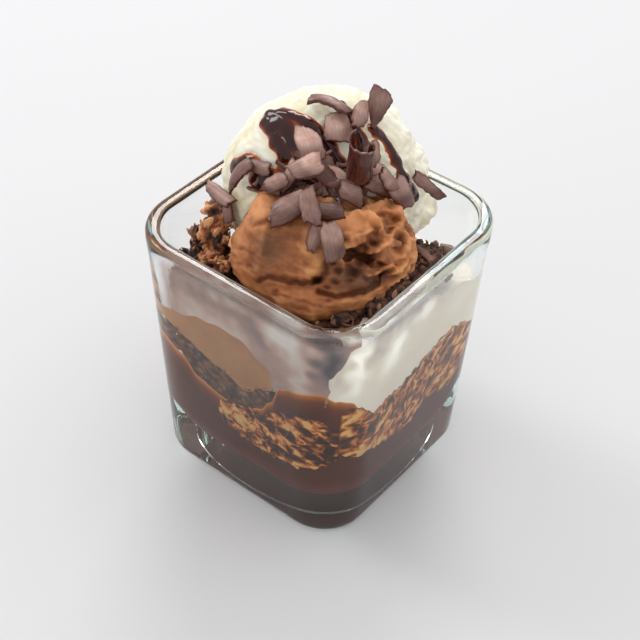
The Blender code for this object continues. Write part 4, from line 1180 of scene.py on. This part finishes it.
def mousse_mesh():
    bm = bmesh.new()
    made = bmesh.ops.create_icosphere(bm, subdivisions=6, radius=1.0)["verts"]
    turn = Matrix.Rotation(SCOOP_TURN, 3, "Z")
    for vert in made:
        egg = Vector(value * axis for value, axis in zip(vert.co, MOUSSE_AXES))
        vert.co = turn @ mousse_form(egg) + MOUSSE_CENTRE
    push(bm, lambda place: 0.8 * (cloud(place, 7.0) + 0.5 * cloud(place, 3.0)))
    bm = skin(bm, MOUSSE_VOXEL)
    relax(bm, 2)
    back = turn.transposed()
    painted_shade_mark, painted_light_mark = marks(bm, "rise", "tint")
    bm.normal_update()
    moves = []
    for vert in bm.verts:
        place = vert.co
        local = back @ (place - MOUSSE_CENTRE)
        up_here = local.dot(PRESSED_UP)
        facing = ease(local.dot(PRESSED_FROM) / MARK_FADE)
        craggy = ease((local.x - 1.0 + 0.3 * up_here) / 4.0) * ease((up_here + 8.0) / 3.0)
        craggy = max(craggy * facing, 0.6 * (1 - facing))
        ridged = 0.34 - 1.5 * abs(rough((place.x * 0.9, place.y * 0.9, place.z * 1.5), 6.0, 2, 6.0))
        fine = rough(place, 1.9, 3, 8.0)
        wiped = 0.3 * rough((place.x * 0.5, place.y * 0.5, place.z * 1.8), 2.4, 3, 9.0)
        height = craggy * (1.9 * ridged + 0.5 * fine) + (1 - craggy) * wiped + 0.06 * fine
        folds = fold_move(local.x, up_here) * facing
        moves.append(vert.normal * height + turn @ PRESSED_FROM * folds)
        # Painted shade: darker where the surface sinks into creases and holes, lighter where it rises
        vert[painted_shade_mark] = held(0.54 + 0.5 * height + 0.26 * folds)
        # Painted light and shade from the table above, plus a little random drift
        tint = spread(MOUSSE_PAINTED_LIGHT, local.x, up_here) * facing + 0.12 * fine
        vert[painted_light_mark] = held(0.5 + tint)
    for vert, move in zip(bm.verts, moves):
        vert.co += move
    relax(bm, 1, 0.3)
    hold_inside(bm, 0.4)
    return bm


def add_shard(bm, centre, size, seed):
    """Thin broken crumb with sharp corners."""
    made = bmesh.ops.create_icosphere(bm, subdivisions=1, radius=size)["verts"]
    for vert in made:
        vert.co *= 1 + 0.8 * cloud(vert.co, size * 0.7, seed)
    breadth = 0.75 + 0.25 * math.sin(seed * 5.1)
    thickness = 0.42 + 0.16 * math.sin(seed * 3.3)
    squash = Matrix.Diagonal((1.25, breadth, thickness, 1))
    put_in_place(bm, Matrix.Translation(centre) @ tumble(seed) @ squash, made)
    return made


def brownie(name, lumps, node, seed, count, size, lit_share_at):
    """Crumbled brownie: a craggy core with broken crumbs stuck all over it."""
    bm = bmesh.new()
    for number, (x, y, z, radius) in enumerate(lumps):
        add_rock(bm, (x, y, z), radius * 0.92, seed + number)
        for k in range(BROWNIE_KNOBS):
            out = direction(k * 2.4 + number, math.asin(-0.6 + 0.24 * k))
            knob = radius * (0.26 + 0.12 * (k % 3))
            add_rock(bm, Vector((x, y, z)) + out * radius * 0.8, knob, seed + number + k * 3.3)
    bm = skin(bm, BROWNIE_VOXEL)
    relax(bm, 1)
    painted_shade_mark, lit_mark = marks(bm, "rise", "lit_share")
    bm.normal_update()
    heights = [0.7 * rough(vert.co, 1.6, 4, seed) for vert in bm.verts]
    for vert, height in zip(bm.verts, heights):
        vert.co += vert.normal * height
        # Painted shade: darker in the hollows of the crumb
        vert[painted_shade_mark] = held(0.45 + 0.9 * height)
        vert[lit_mark] = lit_share_at(vert.co)
    bm.normal_update()
    bm.verts.ensure_lookup_table()
    total = len(bm.verts)
    spots = []
    for k in range(count):
        vert = bm.verts[(k * 7919 + 13) % total]
        spots.append((vert.co + vert.normal * 0.25, lit_share_at(vert.co)))
    solid = len(bm.faces)
    for start in range(0, count, SHARD_BATCH):
        shards = bmesh.new()
        painted_shade_mark, lit_mark = marks(shards, "rise", "lit_share")
        for k, (place, lit_share) in enumerate(spots[start:start + SHARD_BATCH], start):
            own = 0.5 + 0.5 * math.sin(k * 12.9 + seed)
            for vert in add_shard(shards, place, size * (0.45 + 0.75 * own * own), seed + k * 0.37):
                # Each crumb gets its own painted shade level and lit share, a few of them paler caramel
                vert[painted_shade_mark] = 0.25 + 0.7 * own
                vert[lit_mark] = min(1.0, lit_share * (0.7 + 0.6 * math.sin(k * 4.7) ** 2) + 0.25 * (k % 9 == 0))
        joined = bpy.data.meshes.new("shards")
        shards.to_mesh(joined)
        shards.free()
        bm.from_mesh(joined)
        bpy.data.meshes.remove(joined)
    hold_inside(bm, 0.45)
    bmesh.ops.recalc_face_normals(bm, faces=bm.faces)
    obj = piece(name, bm, BROWNIE, "brownie", node)
    for face in obj.data.polygons:
        face.use_smooth = face.index < solid


def lit_share_above(place):
    """Share of the lit caramel brown, painted light greater towards the top, with a random drift."""
    return ease((place.z - 59.5) / 3.5) * ease(0.65 + 1.2 * cloud(place, 2.6, 3.0))


# Curls


def curl(number, centre, turn, length, width, arc, taper, bow, pale):
    """Shaving of chocolate bent round its long axis, with broken ends."""
    bm = bmesh.new()
    across = max(14, round(arc / 6))
    bmesh.ops.create_grid(bm, x_segments=30, y_segments=across, size=0.5)
    lay = bm.loops.layers.uv.new("lay")
    for face in bm.faces:
        for loop in face.loops:
            loop[lay].uv = (loop.vert.co.x * length, loop.vert.co.y * width)
    core_mark, bloom_and_light_mark = marks(bm, "core", "bloom_and_light")
    radius = width / math.radians(arc)
    closed = arc > CLOSED_ARC
    lean = 0.9 * math.sin(number * 2.3)
    other = 0.9 * math.sin(number * 1.7 + 1)
    narrow = 0.16 + 0.12 * math.sin(number * 3.1)
    tips = [0.0 if closed else 0.22 + 0.2 * math.sin(number * 4.3 + k) for k in (0, 2)]
    for vert in bm.verts:
        s, t = vert.co.x, vert.co.y
        chip = 0.5 * rough((t * width, number * 3.1, s), 1.5, 3)
        end = (lean if s > 0 else other) * t * width * 0.4
        hold = ease((abs(s) - 0.12) / 0.38)
        stretch = s * length + (end + chip) * hold
        trim = 1 - narrow * ease(2 * s * math.copysign(1, math.sin(number)))
        trim *= 1 - tips[s > 0] * ease((abs(s) - 0.22) / 0.3)
        side = 0.35 * rough((stretch, math.copysign(4.0, t), number * 2.3), 1.6, 3)
        side *= ease((abs(t) - 0.25) / 0.25)
        angle = (t * trim + side / width) * math.radians(arc) * (1 + taper * s)
        swell = 0.2 * cloud((s * length, t * width, number * 1.9), 2.4)
        roll = radius + swell + (0.9 * (t + 0.5) if closed else 0.0)
        vert.co = Vector((stretch, roll * math.sin(angle), roll * math.cos(angle) - radius - bow * 4 * s * s))
        vert[core_mark] = ease(min((0.5 - abs(s)) * length, (0.5 - abs(t)) * width) / 0.6)
    bmesh.ops.solidify(bm, geom=list(bm.faces), thickness=CURL_THICKNESS)
    bmesh.ops.recalc_face_normals(bm, faces=bm.faces)
    bm.normal_update()
    for vert in bm.verts:
        away = Vector((0, vert.co.y, vert.co.z + radius)).normalized()
        outer = vert.normal.dot(away)
        drift = 0.95 + 0.7 * cloud((vert.co.x, vert.co.y, number * 3.0), 3.0)
        # Paler outer side: chocolate bloom with a painted reflection
        bloom_and_light = pale * ease((outer + 0.1) / 0.9) * min(1.0, drift)
        vert[bloom_and_light_mark] = bloom_and_light * (0.35 + 0.65 * vert[core_mark])
    spin = Euler([math.radians(a) for a in turn]).to_matrix().to_4x4()
    put_in_place(bm, Matrix.Translation(centre) @ spin)
    # Painted shade: darker towards the lower part of each curl
    for vert in bm.verts:
        vert[bloom_and_light_mark] *= 0.25 + 0.75 * ease((vert.co.z - centre[2] + 2.2) / 3.8)
    obj = piece(f"curl_{number:02d}", bm, CURL, "chocolate_curl", f"chocolate_curl_{number:02d}")
    worn = obj.modifiers.new("Worn edge", "BEVEL")
    worn.width = CURL_WORN * MM
    worn.segments = 2
    worn.limit_method = "ANGLE"
    worn.angle_limit = math.radians(50)


def chocolate_bits(scoops):
    """Small shavings scattered between the curls, lying on the scoops."""
    trees = []
    for obj in scoops:
        surface = bmesh.new()
        surface.from_mesh(obj.data)
        bmesh.ops.scale(surface, vec=(1 / MM,) * 3, verts=surface.verts)
        trees.append(BVHTree.FromBMesh(surface))
        surface.free()
    bm = bmesh.new()
    core_mark, bloom_and_light_mark = marks(bm, "core", "bloom_and_light")
    lay = bm.loops.layers.uv.new("lay")
    seeded = Random(BIT_SEED)
    for _ in range(BIT_COUNT):
        across, rise = seeded.gauss(0, BIT_SPREAD[0]), seeded.gauss(0, BIT_SPREAD[1])
        start = Vector(BIT_CENTRE) + VIEW_ACROSS * across + VIEW_UP * rise + VIEW_BACK * 60
        hits = [tree.ray_cast(start, -VIEW_BACK) for tree in trees]
        hits = [hit for hit in hits if hit[0]]
        if not hits:
            continue
        place, normal, _, _ = min(hits, key=lambda hit: hit[3])
        size = 0.55 + 0.95 * seeded.random()
        tilt = normal.to_track_quat("Z", "Y").to_matrix()
        lean = (seeded.gauss(0, 0.45), seeded.gauss(0, 0.45), seeded.random() * math.tau)
        tilt = tilt @ Euler(lean).to_matrix()
        made = bmesh.ops.create_grid(bm, x_segments=5, y_segments=4, size=0.5)["verts"]
        at = Matrix.Translation(place + normal * (0.5 + 0.5 * size))
        skew, bend, dull = seeded.uniform(-0.5, 0.5), seeded.uniform(0.6, 2.4), seeded.random()
        for vert in made:
            x, y = vert.co.x * 2.7 * size, vert.co.y * 1.7 * size * (1 + skew * vert.co.x)
            x += 0.4 * cloud((x, y, dull * 30), 1.2)
            y += 0.4 * cloud((y, x, dull * 30), 1.2)
            vert.co = Vector((x + skew * y, y, -bend * y * y / size * 0.3))
            vert[core_mark] = 0.5 + 0.5 * (abs(vert.co.x) < size)
            vert[bloom_and_light_mark] = 0.1 + 0.4 * dull
        put_in_place(bm, at @ tilt.to_4x4(), made)
    for face in bm.faces:
        for loop in face.loops:
            loop[lay].uv = (loop.vert.co.x, loop.vert.co.y)
    bmesh.ops.solidify(bm, geom=list(bm.faces), thickness=BIT_THICKNESS)
    bmesh.ops.recalc_face_normals(bm, faces=bm.faces)
    piece("chocolate_bits", bm, CURL, "chocolate_curl", flat=True)


GLASS = glass_paint()
GANACHE = ganache_paint()
CRUNCH = crunch_paint()
CRUMB = crumb_paint()
MOUSSE = mousse_paint()
BAND = mousse_band_paint()
SMEAR = smear_paint()
CREAM = cream_paint()
CREAM_FILL = cream_fill_paint()
BROWNIE = brownie_paint()
SAUCE = sauce_paint()
CURL = curl_paint()

cup()
layers()
smear()
crunch("crunch_front", CRUNCH_LEFT, along_x=True, tilt=math.radians(-32), node="toffee_crunch_left",
       seed=2.0, grain=(2.3, 1.9), spots=GOLD_LEFT, least=0.28)
crunch("crunch_side", CRUNCH_RIGHT, along_x=False, tilt=math.radians(52), node="toffee_crunch_right",
       seed=5.0, grain=(3.5, 2.6), spots=GOLD_RIGHT, least=0.52)
vanilla = piece("vanilla_ball", vanilla_mesh(), CREAM, "vanilla_cream", "vanilla_scoop")
sauce(vanilla)
mousse = piece("mousse_ball", mousse_mesh(), MOUSSE, "mousse", "mousse_scoop")
brownie("brownie_back", BROWNIE_LEFT, "brownie_left", seed=3.0, count=620, size=0.95, lit_share_at=lit_share_above)
# The crumbs at the rim get little of the painted light
brownie("brownie_rim", BROWNIE_FRONT, "brownie_front", seed=5.0, count=760, size=0.8,
        lit_share_at=lambda place: 0.1)
for number, row in enumerate(CURLS, 1):
    curl(number, *row)
chocolate_bits((vanilla, mousse))


# Floor, light and camera


def floor():
    bm = bmesh.new()
    bmesh.ops.create_grid(bm, x_segments=1, y_segments=1, size=FLOOR_SIZE)
    bmesh.ops.translate(bm, vec=(0, 0, -FLOOR_DROP), verts=bm.verts)
    mesh = bpy.data.meshes.new("floor")
    bm.to_mesh(mesh)
    bm.free()
    obj = bpy.data.objects.new("floor", mesh)
    bpy.context.scene.collection.objects.link(obj)
    made, _, shader = paint("floor", 0.6, specular=0.2)
    shader.inputs["Base Color"].default_value = linear(*FLOOR_TONE)
    mesh.materials.append(made)


def lamp(name, place, target, size, power):
    data = bpy.data.lights.new(name, "AREA")
    data.shape = "RECTANGLE"
    data.size, data.size_y = size
    data.energy = power
    obj = bpy.data.objects.new(name, data)
    obj.location = place
    obj.rotation_mode = "QUATERNION"
    obj.rotation_quaternion = (Vector(target) - Vector(place)).to_track_quat("-Z", "Y")
    bpy.context.scene.collection.objects.link(obj)


def studio():
    world = bpy.data.worlds.new("studio")
    world.use_nodes = True
    world.node_tree.nodes["Background"].inputs["Color"].default_value = ROOM_TONE
    world.node_tree.nodes["Background"].inputs["Strength"].default_value = ROOM_STRENGTH
    bpy.context.scene.world = world
    for name, row in LAMPS.items():
        lamp(name, *row)
    bpy.context.scene.view_settings.view_transform = "Standard"
    bpy.context.scene.view_settings.look = "None"


def camera():
    data = bpy.data.cameras.new("camera")
    data.lens = LENS
    data.sensor_width = SENSOR
    data.clip_start = NEAREST
    obj = bpy.data.objects.new("camera", data)
    turn = Matrix((VIEW_ACROSS, VIEW_UP, VIEW_BACK)).transposed()
    obj.matrix_world = Matrix.Translation(CAMERA_PLACE) @ turn.to_4x4()
    bpy.context.scene.collection.objects.link(obj)
    bpy.context.scene.camera = obj


floor()
studio()
camera()
